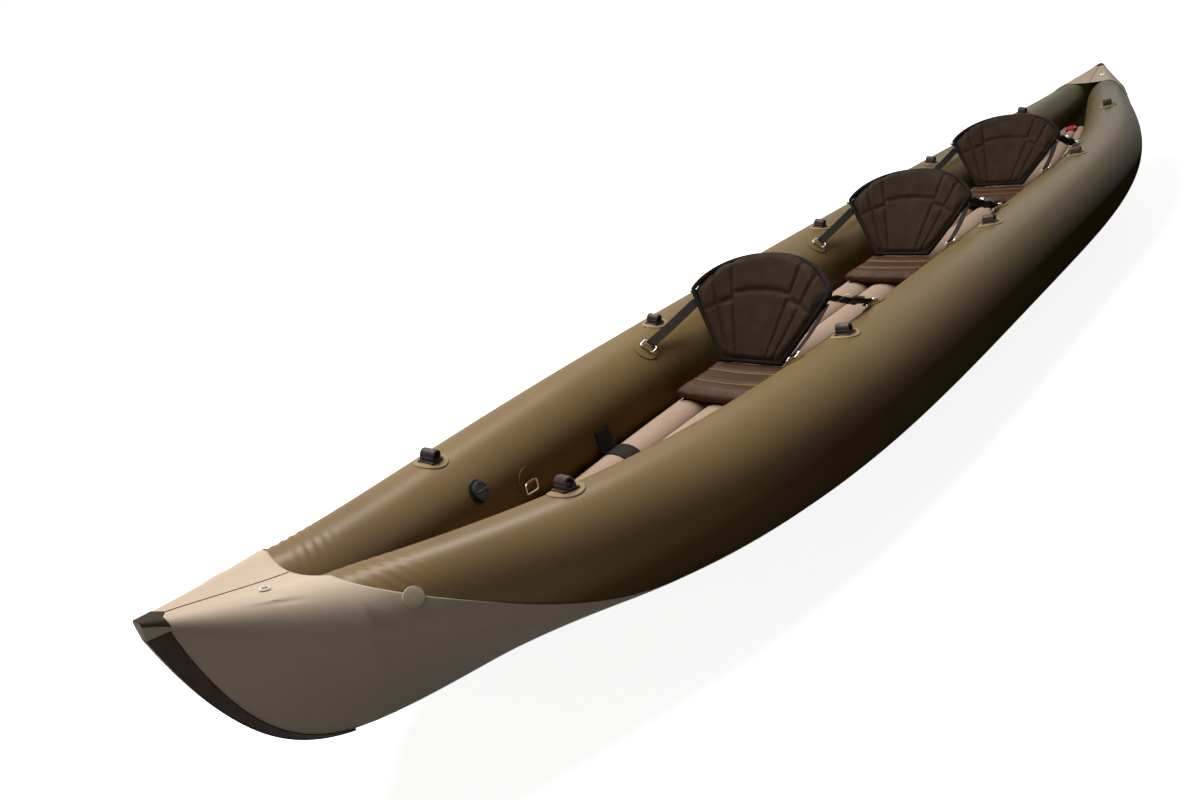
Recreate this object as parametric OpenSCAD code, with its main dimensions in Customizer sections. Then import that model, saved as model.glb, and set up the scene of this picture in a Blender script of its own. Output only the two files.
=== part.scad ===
// Three-seat inflatable kayak. Millimetres, +Z up, bow towards -X, starboard towards +Y.
// The origin is on the ground under the middle of the hull.

/* [Hull] */
// Overall length over both tips
hull_length = 5000; // [4700:20:5300]
// Height of the tube crowns amidships above the ground
crown_height = 360; // [345:5:400]
// How far the tips stand above the crowns amidships
sheer_rise = 136; // [80:2:180]
// Power of the curve by which the crowns rise towards the tips
sheer_power = 4.7; // [4:0.1:6]
// Distance from a tip to where the keel starts to rise
keel_rise_length = 990; // [850:10:1150]
// Rise of the keel per unit of length
keel_slope = 0.19; // [0.12:0.01:0.22]
// Length over which the keel eases into its slope
keel_ease = 300; // [150:10:400]
// Length over which the stem bends up from the keel
stem_bend = 83; // [60:1:110]

/* [Side tubes] */
// Tube diameter amidships
tube_diameter = 290; // [270:2:300]
// Tube diameter where the two tubes meet
tube_end_diameter = 160; // [140:2:170]
// Distance between the tube centre lines amidships
tube_spacing = 594; // [580:2:640]
// Gap between the tubes where they meet
tube_end_gap = 10; // [6:1:20]
// Distance from a tip to where the tubes meet
tube_end_inset = 240; // [210:5:300]
// Length of a tube's rounded nose
tube_nose = 60; // [40:2:80]
// Power of the curve by which a tube thins
tube_taper_power = 3.5; // [3:0.1:4]

/* [Skin and caps] */
// Thickness of the bottom skin and of the caps
skin_thickness = 2; // [1.5:0.1:3]
// Room between a tube and the skin round it
skin_clearance = 0.9; // [0.8:0.1:3]
// Half width of the flat bottom amidships
bottom_half = 110; // [90:2:125]
// Half width of the keel edge under the caps
keel_edge_half = 6; // [4:0.5:10]
// Distance from a tip to where the bottom starts to narrow
bottom_narrow_length = 1600; // [1400:10:1800]
// Distance from a tip to where the bottom is only the keel edge
keel_edge_length = 550; // [450:10:650]
// Distance from a tip to the seam between a cap and the bottom skin
cap_length = 800; // [750:10:900]
// Distance from a tip to the inner edge of a cap's deck
deck_length = 224; // [205:2:240]
// Arc by which the bottom skin laps onto a tube
skin_lap_angle = 8; // [4:1:12]
// Depth of the blunt tip
tip_depth = 24; // [16:1:40]
// Radius of the cap's shoulder at the tip
tip_shoulder = 5; // [3:0.5:8]
// Thickness of the strip along the stem
strip_thickness = 1.5; // [1:0.1:3]
// Width of one leg of the strip at the tip
strip_leg_top = 20; // [12:1:24]
// Width of one leg of the strip at its lower end
strip_leg_low = 9; // [6:1:15]
// Distance from a tip to the lower end of the strip
strip_length = 235; // [180:5:300]
// Diameter of the round patches on the cap corners
cap_patch_diameter = 34; // [26:1:44]
// Angle of those patches from the tube crown
cap_patch_angle = 60; // [50:1:70]
// Distance from a tip to its grommet
grommet_inset = 160; // [140:2:165]
// Distance of a grommet from the deck's centre seam
grommet_offset = 44; // [36:1:46]
// Bore of a grommet
grommet_bore = 9; // [6:0.5:10]
// Outer diameter of a grommet's flanges
grommet_flange = 18; // [16:0.5:22]

/* [Floor] */
// Height of the floor's chamber crests above the keel
floor_height = 217; // [200:1:230]
// Number of lengthwise chambers
floor_chambers = 3; // [3:1:5]
// Depth of the grooves between the chambers
floor_groove = 26; // [15:1:32]
// Room between the floor and a tube
floor_clearance = 3; // [2:0.5:6]
// Distance from a tip to the end of the floor
floor_end_inset = 430; // [410:10:500]

/* [Valves] */
// Distance from the bow tip to the tube valves
tube_valve_inset = 680; // [640:5:720]
// Angle of a tube valve from the crown, towards the cockpit
tube_valve_angle = 66; // [55:1:75]
// Distance from the stern tip to the floor valve
floor_valve_inset = 520; // [490:5:560]
// Diameter of a valve's flange
valve_flange = 52; // [48:1:60]
// Outer diameter of the valve barrel
valve_barrel = 36; // [32:1:40]
// Bore of the valve barrel
valve_bore = 28; // [24:1:29]
// Diameter of the plunger's stem
valve_stem = 6; // [5:0.5:8]
// How far the plunger can be pressed
valve_travel = 4; // [2:0.5:5]
// Wall of the valve cap
valve_cap_wall = 3.5; // [2.5:0.5:4.5]

/* [Lashing loops] */
// Distance of the second and fourth pair from amidships
loop_station = 972; // [900:4:1040]
// Distance of the first and fifth pair from the tips
loop_end_inset = 650; // [560:5:700]
// Angle of a loop from the crown, towards the cockpit
loop_angle = 7; // [0:1:12]
// Diameter of the round patch under a loop
loop_patch = 70; // [60:1:80]
// Outer diameter of a loop's barrel
loop_barrel = 25; // [22:0.5:28]
// Bore of a loop
loop_bore = 14; // [10:0.5:16]
// Length of a loop
loop_length = 34; // [28:1:40]

/* [Rings and patches] */
// Thickness of every patch
patch_thickness = 1.6; // [1.2:0.1:2.5]
// Room between a patch and what it is fixed to
patch_clearance = 0.8; // [0.7:0.05:1.2]
// Diameter of the patch under a ring
ring_patch = 64; // [58:1:76]
// Thickness of a ring's wire
ring_wire = 4; // [3:0.5:5]
// Width of a ring between wire centres
ring_width = 38; // [36:1:44]
// Depth of a ring between wire centres
ring_depth = 22; // [18:1:28]
// Corner radius of a ring at the wire centre
ring_corner = 5; // [4:0.5:5.5]
// Radial room of a ring's bar in its tab
ring_play = 0.06; // [0.04:0.01:0.09]
// Distance from the bow tip to the free rings
free_ring_inset = 820; // [790:5:850]
// Angle of a free ring from the crown, towards the cockpit
free_ring_angle = 84; // [78:1:88]

/* [Seats] */
// Distance between the seats
seat_pitch = 955; // [900:5:1000]
// Place of the middle seat's backrest from amidships
seat_offset = 7; // [-30:1:30]
// Length of a seat cushion
cushion_length = 205; // [180:5:240]
// Width of a seat cushion
cushion_width = 262; // [230:2:276]
// Height of a seat cushion at its crown
cushion_height = 38; // [30:1:46]
// How far a cushion reaches behind the backrest's fold
cushion_behind = 24; // [16:1:40]
// Room under soft pieces and along the fold
soft_clearance = 0.4; // [0.3:0.1:1]
// Height of a backrest along its slope
back_height = 285; // [260:5:310]
// Height of a backrest's corners along its slope
back_corner_height = 190; // [170:5:205]
// Half width of a backrest across its corners
back_corner_half = 216; // [204:2:222]
// Half width of a backrest at its fold
back_base_half = 85; // [75:1:100]
// Thickness of a backrest's padding
back_thickness = 30; // [24:1:36]
// Thickness of a backrest's edge
back_edge = 9; // [7:0.5:12]
// How far the corners wrap forwards
back_wrap = 41; // [25:1:50]
// Lean of a backrest from the vertical
back_lean = 33; // [25:1:36]
// Depth of the sewn channels
channel_depth = 5; // [2:0.5:7]

/* [Straps] */
// Width of the strap webbing
strap_width = 25; // [20:1:25]
// Thickness of the strap webbing
strap_thickness = 1.8; // [1.4:0.1:2.4]
// Place of the front rings ahead of the fold
front_ring_ahead = 160; // [150:2:190]
// Angle of the front rings from the crown, towards the cockpit
front_ring_angle = 34; // [30:1:38]
// Place of the rear rings behind the fold
rear_ring_behind = 240; // [220:2:270]
// Angle of the rear rings from the crown, towards the cockpit
rear_ring_angle = 30; // [26:1:36]
// Height on the backrest's edge where a front strap is sewn
front_strap_height = 146; // [130:2:160]
// Height on the backrest's edge where a rear strap is sewn
rear_strap_height = 166; // [150:2:176]
// Room between a strap's end and the backrest's edge
strap_end_room = 8; // [7:0.5:12]
// Length of a buckle
buckle_length = 46; // [40:1:56]
// Thickness of a buckle
buckle_thickness = 9; // [8:0.5:12]
// Length of a slider
slider_length = 20; // [16:1:24]
// Thickness of a slider
slider_thickness = 5; // [4.5:0.5:7]
// Rim of a buckle and of a slider beside the strap
slot_rim = 4; // [3:0.5:6]
// Room of a strap in a slot
slot_play = 0.4; // [0.3:0.05:0.6]
// Width of the foot strap
foot_strap_width = 52; // [40:2:60]
// Distance from the bow tip to the foot strap
foot_strap_inset = 1095; // [1040:5:1150]

/* [Hidden] */
half_length = hull_length / 2;
cap_tip = half_length - strip_thickness;
tube_reach = half_length - tube_end_inset;
tube_tip = tube_reach + tube_nose;
tube_end_y = (tube_end_diameter + tube_end_gap) / 2;
tip_shoulder_y = keel_edge_half - 2;
skin_inner = skin_clearance;
skin_outer = skin_clearance + skin_thickness;
stem_rise = crown_height + sheer_rise + skin_outer - tip_depth
    - keel_slope * (keel_rise_length - keel_ease / 2);
bow_x = -half_length;
seat_folds = [for (k = [-1:1]) seat_offset + k * seat_pitch];
loop_stations = [loop_end_inset - half_length, -loop_station, 0, loop_station,
    half_length - loop_end_inset];
loop_inboard = -loop_angle;
plan_power = 4.5;
plan_fullness = 1.3;
edge_power = 2.5;
strip_gap = 0.8;
seam_gap = 0.3;
round_facets = 64;
$fn = round_facets;

olive = "#5d5337";
grey = "#8f867a";
dark_brown = "#3a2f28";
charcoal = "#2b2522";
steel = "#c8c8c6";
red = "#b3322a";

// Hull lines, all as functions of the distance x from amidships

function mix(a, b, share) = a + (b - a) * share;
function clamp01(v) = max(0, min(1, v));
function ease(v) = v * v * (3 - 2 * v);
function unit(v) = v / norm(v);

function along(x) = min(1, abs(x) / tube_reach);
function past(x) = clamp01((abs(x) - tube_reach) / (half_length - tube_reach));

function tube_r(x) = past(x) > 0
    ? mix(tube_end_diameter / 2, tip_shoulder, past(x))
    : tube_diameter / 2
        - (tube_diameter - tube_end_diameter) / 2 * pow(along(x), tube_taper_power);

function tube_y(x) = past(x) > 0
    ? mix(tube_end_y, tip_shoulder_y, past(x))
    : tube_end_y + (tube_spacing / 2 - tube_end_y)
        * pow(1 - pow(along(x), plan_power), plan_fullness);

function crown_z(x) = crown_height + sheer_rise * pow(abs(x) / half_length, sheer_power);
function tube_z(x) = crown_z(x) - tube_r(x);

function keel_run(x) = abs(x) - (half_length - keel_rise_length);
function keel_eased(e) = e <= 0 ? 0 : e < keel_ease ? e * e / (2 * keel_ease) : e - keel_ease / 2;
function stem_z(x) = stem_rise * exp(-(half_length - abs(x)) / stem_bend);
function keel_z(x) = keel_slope * keel_eased(keel_run(x))
    + (keel_run(x) > 0 ? stem_z(x) : 0);

function narrowing(x) = ease(clamp01((abs(x) - half_length + bottom_narrow_length)
    / (bottom_narrow_length - keel_edge_length)));
function bottom_y(x) = mix(bottom_half, keel_edge_half, narrowing(x));

// Angle of the skin's straight side, from the bottom's edge to where it touches the tube

function side_angle(x, lift) =
    let (dy = tube_y(x) - bottom_y(x))
    let (dz = tube_z(x) - keel_z(x))
    atan2(dz, dy) - asin(min(1, (tube_r(x) + lift) / norm([dy, dz])));
function touch_angle(x, lift) = 180 - side_angle(x, lift);

// A point on a starboard tube, at an angle from its crown towards the outside

function tube_point(x, angle, lift) =
    let (r = tube_r(x) + lift)
    [x, tube_y(x) + r * sin(angle), tube_z(x) + r * cos(angle)];
function tube_run(x, angle) = unit(tube_point(x + 1, angle, 0) - tube_point(x - 1, angle, 0));
function tube_normal(x, angle) = unit(cross(tube_run(x, angle), [0, cos(angle), -sin(angle)]));

// Frames as matrices: three directions and an origin

function frame(ex, ey, ez, at) = [
    [ex.x, ey.x, ez.x, at.x],
    [ex.y, ey.y, ez.y, at.y],
    [ex.z, ey.z, ez.z, at.z],
    [0, 0, 0, 1]
];
function surface_frame(x, angle) =
    let (ex = tube_run(x, angle))
    let (ez = tube_normal(x, angle))
    frame(ex, cross(ez, ex), ez, tube_point(x, angle, 0));

// Lofts through rings that all have the same number of points

function ring_faces(first, second, count) = [
    for (j = [0:count - 1])
        let (next = (j + 1) % count)
        each [[first + j, second + j, second + next], [first + j, second + next, first + next]]
];
function back_faces(first, second, count) = [
    for (face = ring_faces(first, second, count)) [face[2], face[1], face[0]]
];
function upward(first, count) = [for (j = [0:count - 1]) first + j];
function downward(first, count) = [for (j = [count - 1:-1:0]) first + j];

module loft(rings) {
    count = len(rings[0]);
    last = len(rings) - 1;
    faces = [for (i = [0:last - 1]) each ring_faces(i * count, (i + 1) * count, count)];
    polyhedron(
        [for (ring = rings) each ring],
        concat(faces, [upward(0, count)], [downward(last * count, count)])
    );
}

// A thin sheet: each ring is its inside line, then its outside line backwards. Both faces are
// split along the same diagonals, so a twisted sheet keeps its thickness.
module sheet(rings) {
    count = len(rings[0]);
    half = count / 2;
    last = len(rings) - 1;
    inside = [for (i = [0:last - 1], j = [0:half - 1])
        let (a = i * count + j, b = a + count)
        each [[a, b, b + 1], [a, b + 1, a + 1]]];
    outside = [for (i = [0:last - 1], j = [half:count - 1])
        let (a = i * count + j, b = a + count, step = j == count - 1 ? 1 - count : 1)
        each [[a, b, a + step], [b, b + step, a + step]]];
    start = [for (j = [0:half - 2])
        each [[j, j + 1, count - 2 - j], [j, count - 2 - j, count - 1 - j]]];
    end = [for (face = start) [face[2], face[1], face[0]] + last * count * [1, 1, 1]];
    polyhedron([for (ring = rings) each ring], concat(inside, outside, start, end));
}

// A shell between outer and inner rings, open at the first ring and closed at the last
module cup(outer, inner) {
    count = len(outer[0]);
    last = len(outer) - 1;
    shift = (last + 1) * count;
    outside = [for (i = [0:last - 1]) each ring_faces(i * count, (i + 1) * count, count)];
    inside = [for (i = [0:last - 1])
        each back_faces(shift + i * count, shift + (i + 1) * count, count)];
    rim = ring_faces(shift, 0, count);
    ends = [downward(last * count, count), upward(shift + last * count, count)];
    polyhedron(
        concat([for (ring = outer) each ring], [for (ring = inner) each ring]),
        concat(outside, inside, rim, ends)
    );
}

module both_sides() {
    children();
    mirror([0, 1, 0]) children();
}

// Side tubes

tube_steps = 20;
tube_sides = 24;
tube_lengths = 20;
tube_seam = 0.05;
nose_end_share = 0.998;

function nose(x) = sqrt(1 - pow(nose_end_share * clamp01((abs(x) - tube_reach) / tube_nose), 2));
function tube_ring(x) = [
    for (k = [0:tube_sides - 1]) tube_point(x, -360 * k / tube_sides, tube_r(x) * (nose(x) - 1))
];

// The tube in short lengths with hairline seams, so that each length is all but straight
module tube_form() {
    spans = 2 * tube_steps / tube_lengths;
    for (k = [0:tube_lengths - 1])
        loft([for (i = [0:spans])
            let (seam = i == 0 ? tube_seam / 2 : i == spans ? -tube_seam / 2 : 0)
            tube_ring(tube_tip * sin(90 * (k * spans + i - tube_steps) / tube_steps) + seam)]);
}

module starboard_tube() {
    color(olive) difference() {
        tube_form();
        multmatrix(tube_valve_frame()) valve_pocket();
    }
}

module port_tube() {
    mirror([0, 1, 0]) starboard_tube();
}

// Bottom skin and end caps

skin_spans = 47;
lap_steps = 2;
lap_fade = 0.8;

function lap_angle(x) = skin_lap_angle * (1 - lap_fade * pow(abs(x) / (half_length - cap_length), 4));
function lap_points(x, lift) = [
    for (i = [0:lap_steps])
        tube_point(x, touch_angle(x, lift) - lap_angle(x) * (1 - i / lap_steps) - 0.5, lift)
];
function half_bottom(x, lift, floor_z) =
    concat(lap_points(x, lift), [[x, bottom_y(x), floor_z]]);
function mirrored(points) = [for (i = [len(points) - 1:-1:0]) [points[i].x, -points[i].y, points[i].z]];
function reversed(points) = [for (i = [len(points) - 1:-1:0]) points[i]];
function bottom_ring(x) =
    let (outside = half_bottom(x, skin_outer, keel_z(x)))
    let (inside = half_bottom(x, skin_inner, keel_z(x) + skin_thickness))
    concat(inside, mirrored(inside), reversed(concat(outside, mirrored(outside))));

module bottom_skin() {
    reach = half_length - cap_length - seam_gap;
    color(grey) sheet([for (i = [0:skin_spans]) bottom_ring(reach * (2 * i / skin_spans - 1))]);
}

side_steps = 7;
tip_steps = 8;
cap_steps = side_steps + tip_steps;
arc_steps = 12;
keel_ray = arc_steps + 1;
cap_bunching = 1.5;
bend_room = 8;
tip_wall = 10;

function ray_share(j) = clamp01(j / arc_steps);
function mouth_x(j) = half_length - mix(deck_length, cap_length, pow(ray_share(j), edge_power));
function bend_x(j) = max(tube_reach, mouth_x(j) + bend_room);
function cap_x(i, j, tip) = i <= side_steps
    ? mix(mouth_x(j), bend_x(j), i / side_steps)
    : mix(bend_x(j), tip, 1 - pow(1 - (i - side_steps) / tip_steps, cap_bunching));
// Keeps the straight facets of the arc outside the round tube
function arc_swell(x, lift) =
    (tube_r(x) + lift) * (1 / cos(touch_angle(x, lift) / arc_steps / 2) - 1);
function cap_point(x, j, lift, floor_z) =
    j == keel_ray ? [x, bottom_y(x), floor_z]
    : tube_point(x, touch_angle(x, lift) * ray_share(j), lift + arc_swell(x, lift));
function cap_half(i, tip, lift, raise) = [
    for (j = [0:keel_ray])
        let (x = cap_x(i, j, tip))
        cap_point(x, j, lift, keel_z(x + raise) + raise)
];
function cap_ring(i, tip, lift, raise) =
    let (half = reversed(cap_half(i, tip, lift, raise)))
    concat(half, mirrored(half));

function deck_run(x) = unit([2, 0, crown_z(x + 1) - crown_z(x - 1)]);
function grommet_frame() =
    let (x = half_length - grommet_inset)
    let (ex = deck_run(x))
    let (z = crown_z(x) + skin_outer + arc_swell(x, skin_outer))
    frame(ex, [0, 1, 0], cross(ex, [0, 1, 0]), [x, -grommet_offset, z]);

grommet_wall = 1.3;
grommet_hole_room = 0.2;

module cap_form() {
    outer = [for (i = [0:cap_steps]) cap_ring(i, cap_tip, skin_outer, 0)];
    inner = [for (i = [0:cap_steps]) cap_ring(i, cap_tip - tip_wall, skin_inner, skin_thickness)];
    difference() {
        cup(outer, inner);
        multmatrix(grommet_frame())
            cylinder(r = grommet_bore / 2 + grommet_wall + grommet_hole_room,
                h = 6 * skin_thickness, center = true);
    }
}

module stern_cap() {
    color(grey) cap_form();
}

module bow_cap() {
    color(grey) mirror([1, 0, 0]) cap_form();
}

function strip_share(x) = clamp01((half_length - x) / strip_length);
function strip_side(x, lift) =
    let (angle = side_angle(x, skin_outer))
    let (leg = mix(strip_leg_top, strip_leg_low, strip_share(x)))
    [
        [x, bottom_y(x) + leg * cos(angle) + lift * sin(angle),
            keel_z(x) + leg * sin(angle) - lift * cos(angle)],
        [x, bottom_y(x) + lift, keel_z(x) - lift]
    ];
function strip_ring(x) =
    let (outside = strip_side(x, strip_gap + strip_thickness))
    let (inside = strip_side(x, strip_gap))
    concat(inside, mirrored(inside), reversed(concat(outside, mirrored(outside))));
strip_stations = [
    for (i = [0:cap_steps])
        let (x = cap_x(i, keel_ray, cap_tip))
        if (x > half_length - strip_length) x
];

module stern_stem_strip() {
    color(dark_brown) sheet([for (x = strip_stations) strip_ring(x)]);
}

module bow_stem_strip() {
    mirror([1, 0, 0]) stern_stem_strip();
}

// A round patch bent over a tube, with its inner face lifted off the tube

module tube_patch(x, angle, diameter, lift) {
    r = tube_r(x);
    multmatrix(surface_frame(x, angle)) intersection() {
        translate([0, 0, -r]) rotate([0, 90, 0]) difference() {
            cylinder(r = r + lift + patch_thickness, h = 2 * diameter, center = true);
            cylinder(r = r + lift, h = 3 * diameter, center = true);
        }
        cylinder(d = diameter, h = r, center = true);
    }
}

module cap_patches() {
    share = cap_patch_angle / touch_angle(half_length - cap_length, skin_outer);
    x = half_length - mix(deck_length, cap_length, pow(share, edge_power));
    for (end = [0, 1])
        mirror([end, 0, 0]) both_sides()
            color(grey) tube_patch(x, cap_patch_angle, cap_patch_diameter,
                skin_outer + patch_clearance);
}

grommet_gap = 0.2;

module grommet() {
    top = grommet_gap + grommet_wall;
    low = -skin_thickness - top;
    rotate_extrude() difference() {
        translate([grommet_bore / 2, low])
            square([(grommet_flange - grommet_bore) / 2, top - low]);
        translate([grommet_bore / 2 + grommet_wall, -skin_thickness - grommet_gap])
            square([grommet_flange, skin_thickness + 2 * grommet_gap]);
    }
}

module grommets() {
    for (end = [0, 1])
        mirror([end, 0, 0])
            color(steel) multmatrix(grommet_frame()) grommet();
}

// Floor

floor_spans = 33;
chamber_shares = [0, 0.06, 0.18, 0.36, 0.64, 0.82, 0.94];
chamber_roundness = 0.96;
crest_share = 0.28;
edge_roll = 1.5;
floor_lift = 1.06;
floor_side_lift = 1.2;

function floor_y(x) = tube_y(x) - tube_r(x) - floor_clearance;
function floor_z(x) = floor_height + keel_z(x);
function groove(x) = floor_groove * min(1, floor_y(x) / floor_y(0));
function arch(q) = (1 - sqrt(1 - chamber_roundness * q * q)) / (1 - sqrt(1 - chamber_roundness));
function past_crest(q) = max(0, (abs(q) - crest_share) / (1 - crest_share));
function chamber_drop(share) = arch(past_crest(2 * (share * floor_chambers % 1) - 1));
function edge_drop(share) = share <= 0 || share >= 1 ? edge_roll : 1;
function floor_top(x, share) = [
    x, floor_y(x) * (1 - 2 * share),
    floor_z(x) - groove(x) * chamber_drop(share) * edge_drop(share)
];
top_shares = concat(
    [for (c = [0:floor_chambers - 1], s = chamber_shares) (c + s) / floor_chambers], [1]);
function floor_low(x) =
    let (y = min(bottom_y(x), floor_y(x)))
    let (z = keel_z(x) * floor_lift + skin_thickness + soft_clearance)
    let (edge_z = z + (floor_y(x) - y) * tan(side_angle(x, skin_inner) + floor_side_lift))
    [[x, -floor_y(x), edge_z], [x, -y, z], [x, y, z], [x, floor_y(x), edge_z]];
function floor_ring(x) = concat([for (s = top_shares) floor_top(x, s)], floor_low(x));

module floor_mattress() {
    reach = half_length - floor_end_inset;
    color(grey) difference() {
        loft([for (i = [0:floor_spans])
            floor_ring(reach * sin(180 * i / floor_spans - 90))]);
        multmatrix(floor_valve_frame()) valve_pocket();
    }
}

// Valves, each in its own frame with z out of the fabric

function tube_valve_frame() =
    surface_frame(bow_x + tube_valve_inset, -tube_valve_angle);
function floor_valve_frame() =
    let (x = half_length - floor_valve_inset)
    let (ex = unit([2, 0, keel_z(x + 1) - keel_z(x - 1)]))
    frame(ex, [0, 1, 0], cross(ex, [0, 1, 0]), [x, 0, floor_z(x)]);

flange_sink = 6;
flange_thickness = 4;
barrel_length = 26;
guide_thickness = 4;
neck_height = 6;
neck_wall = 3;
pocket_room = 0.6;
cap_room = 0.3;
cap_top = 10;
cap_roof = 3;
stem_play = 0.05;
button_height = 6;
button_wall = 3.5;
poppet_height = 3.6;
poppet_gap = 0.4;
air_holes = 4;
air_hole = 6;
spring_wire = 1.2;
spring_turns = 5;
spring_rings = 8;
spring_sides = 6;
barrel_foot = -flange_sink - barrel_length;
guide_top = barrel_foot + guide_thickness;
button_foot = guide_top + 22;
neck_radius = valve_bore / 2 + neck_wall;
pocket_depth = -barrel_foot + poppet_gap + poppet_height + valve_travel + 4;

module valve_pocket() {
    translate([0, 0, -pocket_depth])
        cylinder(d = valve_barrel + 2 * pocket_room, h = pocket_depth + cap_top);
    translate([0, 0, -flange_sink])
        cylinder(d = valve_flange + 2 * pocket_room, h = flange_sink + cap_top);
}

module valve_body() {
    color(charcoal) difference() {
        union() {
            translate([0, 0, barrel_foot]) cylinder(d = valve_barrel, h = barrel_length + 1);
            translate([0, 0, -flange_sink]) cylinder(d = valve_flange, h = flange_thickness);
            translate([0, 0, -flange_sink]) cylinder(r = neck_radius, h = flange_sink + neck_height);
        }
        translate([0, 0, guide_top]) cylinder(d = valve_bore, h = barrel_length + 20);
        translate([0, 0, barrel_foot - 1])
            cylinder(r = valve_stem / 2 + stem_play, h = guide_thickness + 2);
        for (k = [0:air_holes - 1])
            rotate(360 * k / air_holes)
                translate([valve_bore / 2 - air_hole / 2 - 1, 0, barrel_foot - 1])
                    cylinder(d = air_hole, h = guide_thickness + 2);
    }
}

module valve_plunger() {
    foot = barrel_foot - poppet_gap - poppet_height;
    color(grey) {
        translate([0, 0, foot]) cylinder(d = valve_stem, h = button_foot - foot + 1);
        translate([0, 0, button_foot])
            cylinder(r = valve_stem / 2 + button_wall, h = button_height);
        translate([0, 0, foot]) cylinder(d = valve_bore - 4, h = poppet_height);
    }
}

function spring_ring(turn, low, pitch, radius) = [
    for (k = [0:spring_sides - 1])
        let (a = 360 * k / spring_sides)
        let (r = radius + spring_wire / 2 * cos(a))
        [r * cos(360 * turn), r * sin(360 * turn), low + pitch * turn + spring_wire / 2 * sin(a)]
];

module valve_spring() {
    room = 0.2;
    low = guide_top + spring_wire / 2 + room;
    pitch = (button_foot - guide_top - spring_wire - 2 * room) / spring_turns;
    radius = valve_stem / 2 + spring_wire / 2 + 0.8;
    color(steel) loft([for (i = [0:spring_turns * spring_rings])
        spring_ring(i / spring_rings, low, pitch, radius)]);
}

module valve_cap(tint) {
    inner = neck_radius + cap_room;
    outer = inner + valve_cap_wall;
    low = flange_thickness - flange_sink + cap_room;
    grip = [outer * 1.5, 5, 3];
    color(tint) {
        difference() {
            translate([0, 0, low]) cylinder(r = outer, h = cap_top - low);
            translate([0, 0, low - 1]) cylinder(r = inner, h = cap_top - cap_roof - low + 1);
        }
        translate([-grip.x / 2, -grip.y / 2, cap_top - 1]) cube([grip.x, grip.y, grip.z + 1]);
    }
}

module on_starboard_valve() {
    multmatrix(tube_valve_frame()) children();
}

module on_port_valve() {
    mirror([0, 1, 0]) multmatrix(tube_valve_frame()) children();
}

module on_floor_valve() {
    multmatrix(floor_valve_frame()) children();
}

// Lashing loops on the crowns

module lashing_patches() {
    color(grey) for (x = loop_stations)
        both_sides() tube_patch(x, loop_inboard, loop_patch, patch_clearance);
}

module lashing_loop(x) {
    r = tube_r(x);
    seat = patch_clearance + patch_thickness + 0.1;
    middle = seat + loop_barrel / 2 - 1;
    multmatrix(surface_frame(x, loop_inboard)) difference() {
        union() {
            translate([0, 0, middle]) rotate([90, 0, 0])
                cylinder(d = loop_barrel, h = loop_length, center = true);
            translate([-loop_barrel / 2, -loop_length / 2, -4])
                cube([loop_barrel, loop_length, middle + 4]);
        }
        translate([0, 0, middle]) rotate([90, 0, 0])
            cylinder(d = loop_bore, h = 2 * loop_length, center = true);
        translate([0, 0, -r]) rotate([0, 90, 0])
            cylinder(r = r + seat, h = 4 * loop_barrel, center = true);
    }
}

module starboard_lashing_loops() {
    color(dark_brown) for (x = loop_stations) lashing_loop(x);
}

module port_lashing_loops() {
    mirror([0, 1, 0]) starboard_lashing_loops();
}

// Rings in their tabs: x along the bar, y away from it in the ring's plane

tab_wall = 1.5;
bar_height = patch_clearance + patch_thickness + ring_wire / 2 + tab_wall;
tab_length = ring_width - 2 * ring_corner - 2;

module wire(length) {
    cylinder(d = ring_wire, h = length, center = true);
}

module wire_ring() {
    side = ring_depth - 2 * ring_corner;
    bar = ring_width - 2 * ring_corner;
    for (y = [0, ring_depth]) translate([0, y, 0]) rotate([0, 90, 0]) wire(bar);
    for (x = [-1, 1]) translate([x * ring_width / 2, ring_depth / 2, 0]) rotate([90, 0, 0]) wire(side);
    for (k = [0:3]) {
        right = k == 0 || k == 3;
        far = k == 0 || k == 1;
        translate([
            (right ? 1 : -1) * (ring_width / 2 - ring_corner),
            far ? ring_depth - ring_corner : ring_corner, 0
        ])
            rotate(90 * k) rotate_extrude(angle = 90) translate([ring_corner, 0]) circle(d = ring_wire);
    }
}

// The tab that holds a ring's bar on its patch
module ring_tab(x, angle, bar_dir) {
    r = tube_r(x);
    n = tube_normal(x, angle);
    width = ring_wire + 2 * tab_wall;
    difference() {
        multmatrix(frame(bar_dir, cross(n, bar_dir), n, tube_point(x, angle, 0))) difference() {
            union() {
                translate([0, 0, bar_height]) rotate([0, 90, 0])
                    cylinder(d = width, h = tab_length, center = true);
                translate([-tab_length / 2, -width / 2, -2])
                    cube([tab_length, width, bar_height + 2]);
            }
            translate([0, 0, bar_height]) rotate([0, 90, 0])
                cylinder(r = ring_wire / 2 + ring_play, h = 2 * tab_length, center = true);
        }
        multmatrix(surface_frame(x, angle)) translate([0, 0, -r]) rotate([0, 90, 0])
            cylinder(r = r + patch_clearance, h = 4 * tab_length, center = true);
    }
}

module ring_patch_and_tab(x, angle, bar_dir) {
    tube_patch(x, angle, ring_patch, patch_clearance);
    ring_tab(x, angle, bar_dir);
}

free_ring_x = bow_x + free_ring_inset;

module free_ring_patches() {
    color(grey) both_sides()
        ring_patch_and_tab(free_ring_x, -free_ring_angle, tube_run(free_ring_x, -free_ring_angle));
}

// A free ring hangs down from its bar
function free_ring_frame() =
    let (a = -free_ring_angle)
    let (ex = tube_run(free_ring_x, a))
    let (n = tube_normal(free_ring_x, a))
    let (down = cross(ex, n))
    frame(ex, down, cross(ex, down), tube_point(free_ring_x, a, 0) + n * bar_height);

module starboard_free_ring() {
    color(steel) multmatrix(free_ring_frame()) wire_ring();
}

module port_free_ring() {
    mirror([0, 1, 0]) starboard_free_ring();
}

// Foot strap: webbing over the floor, its ends turned up against the tubes

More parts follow.
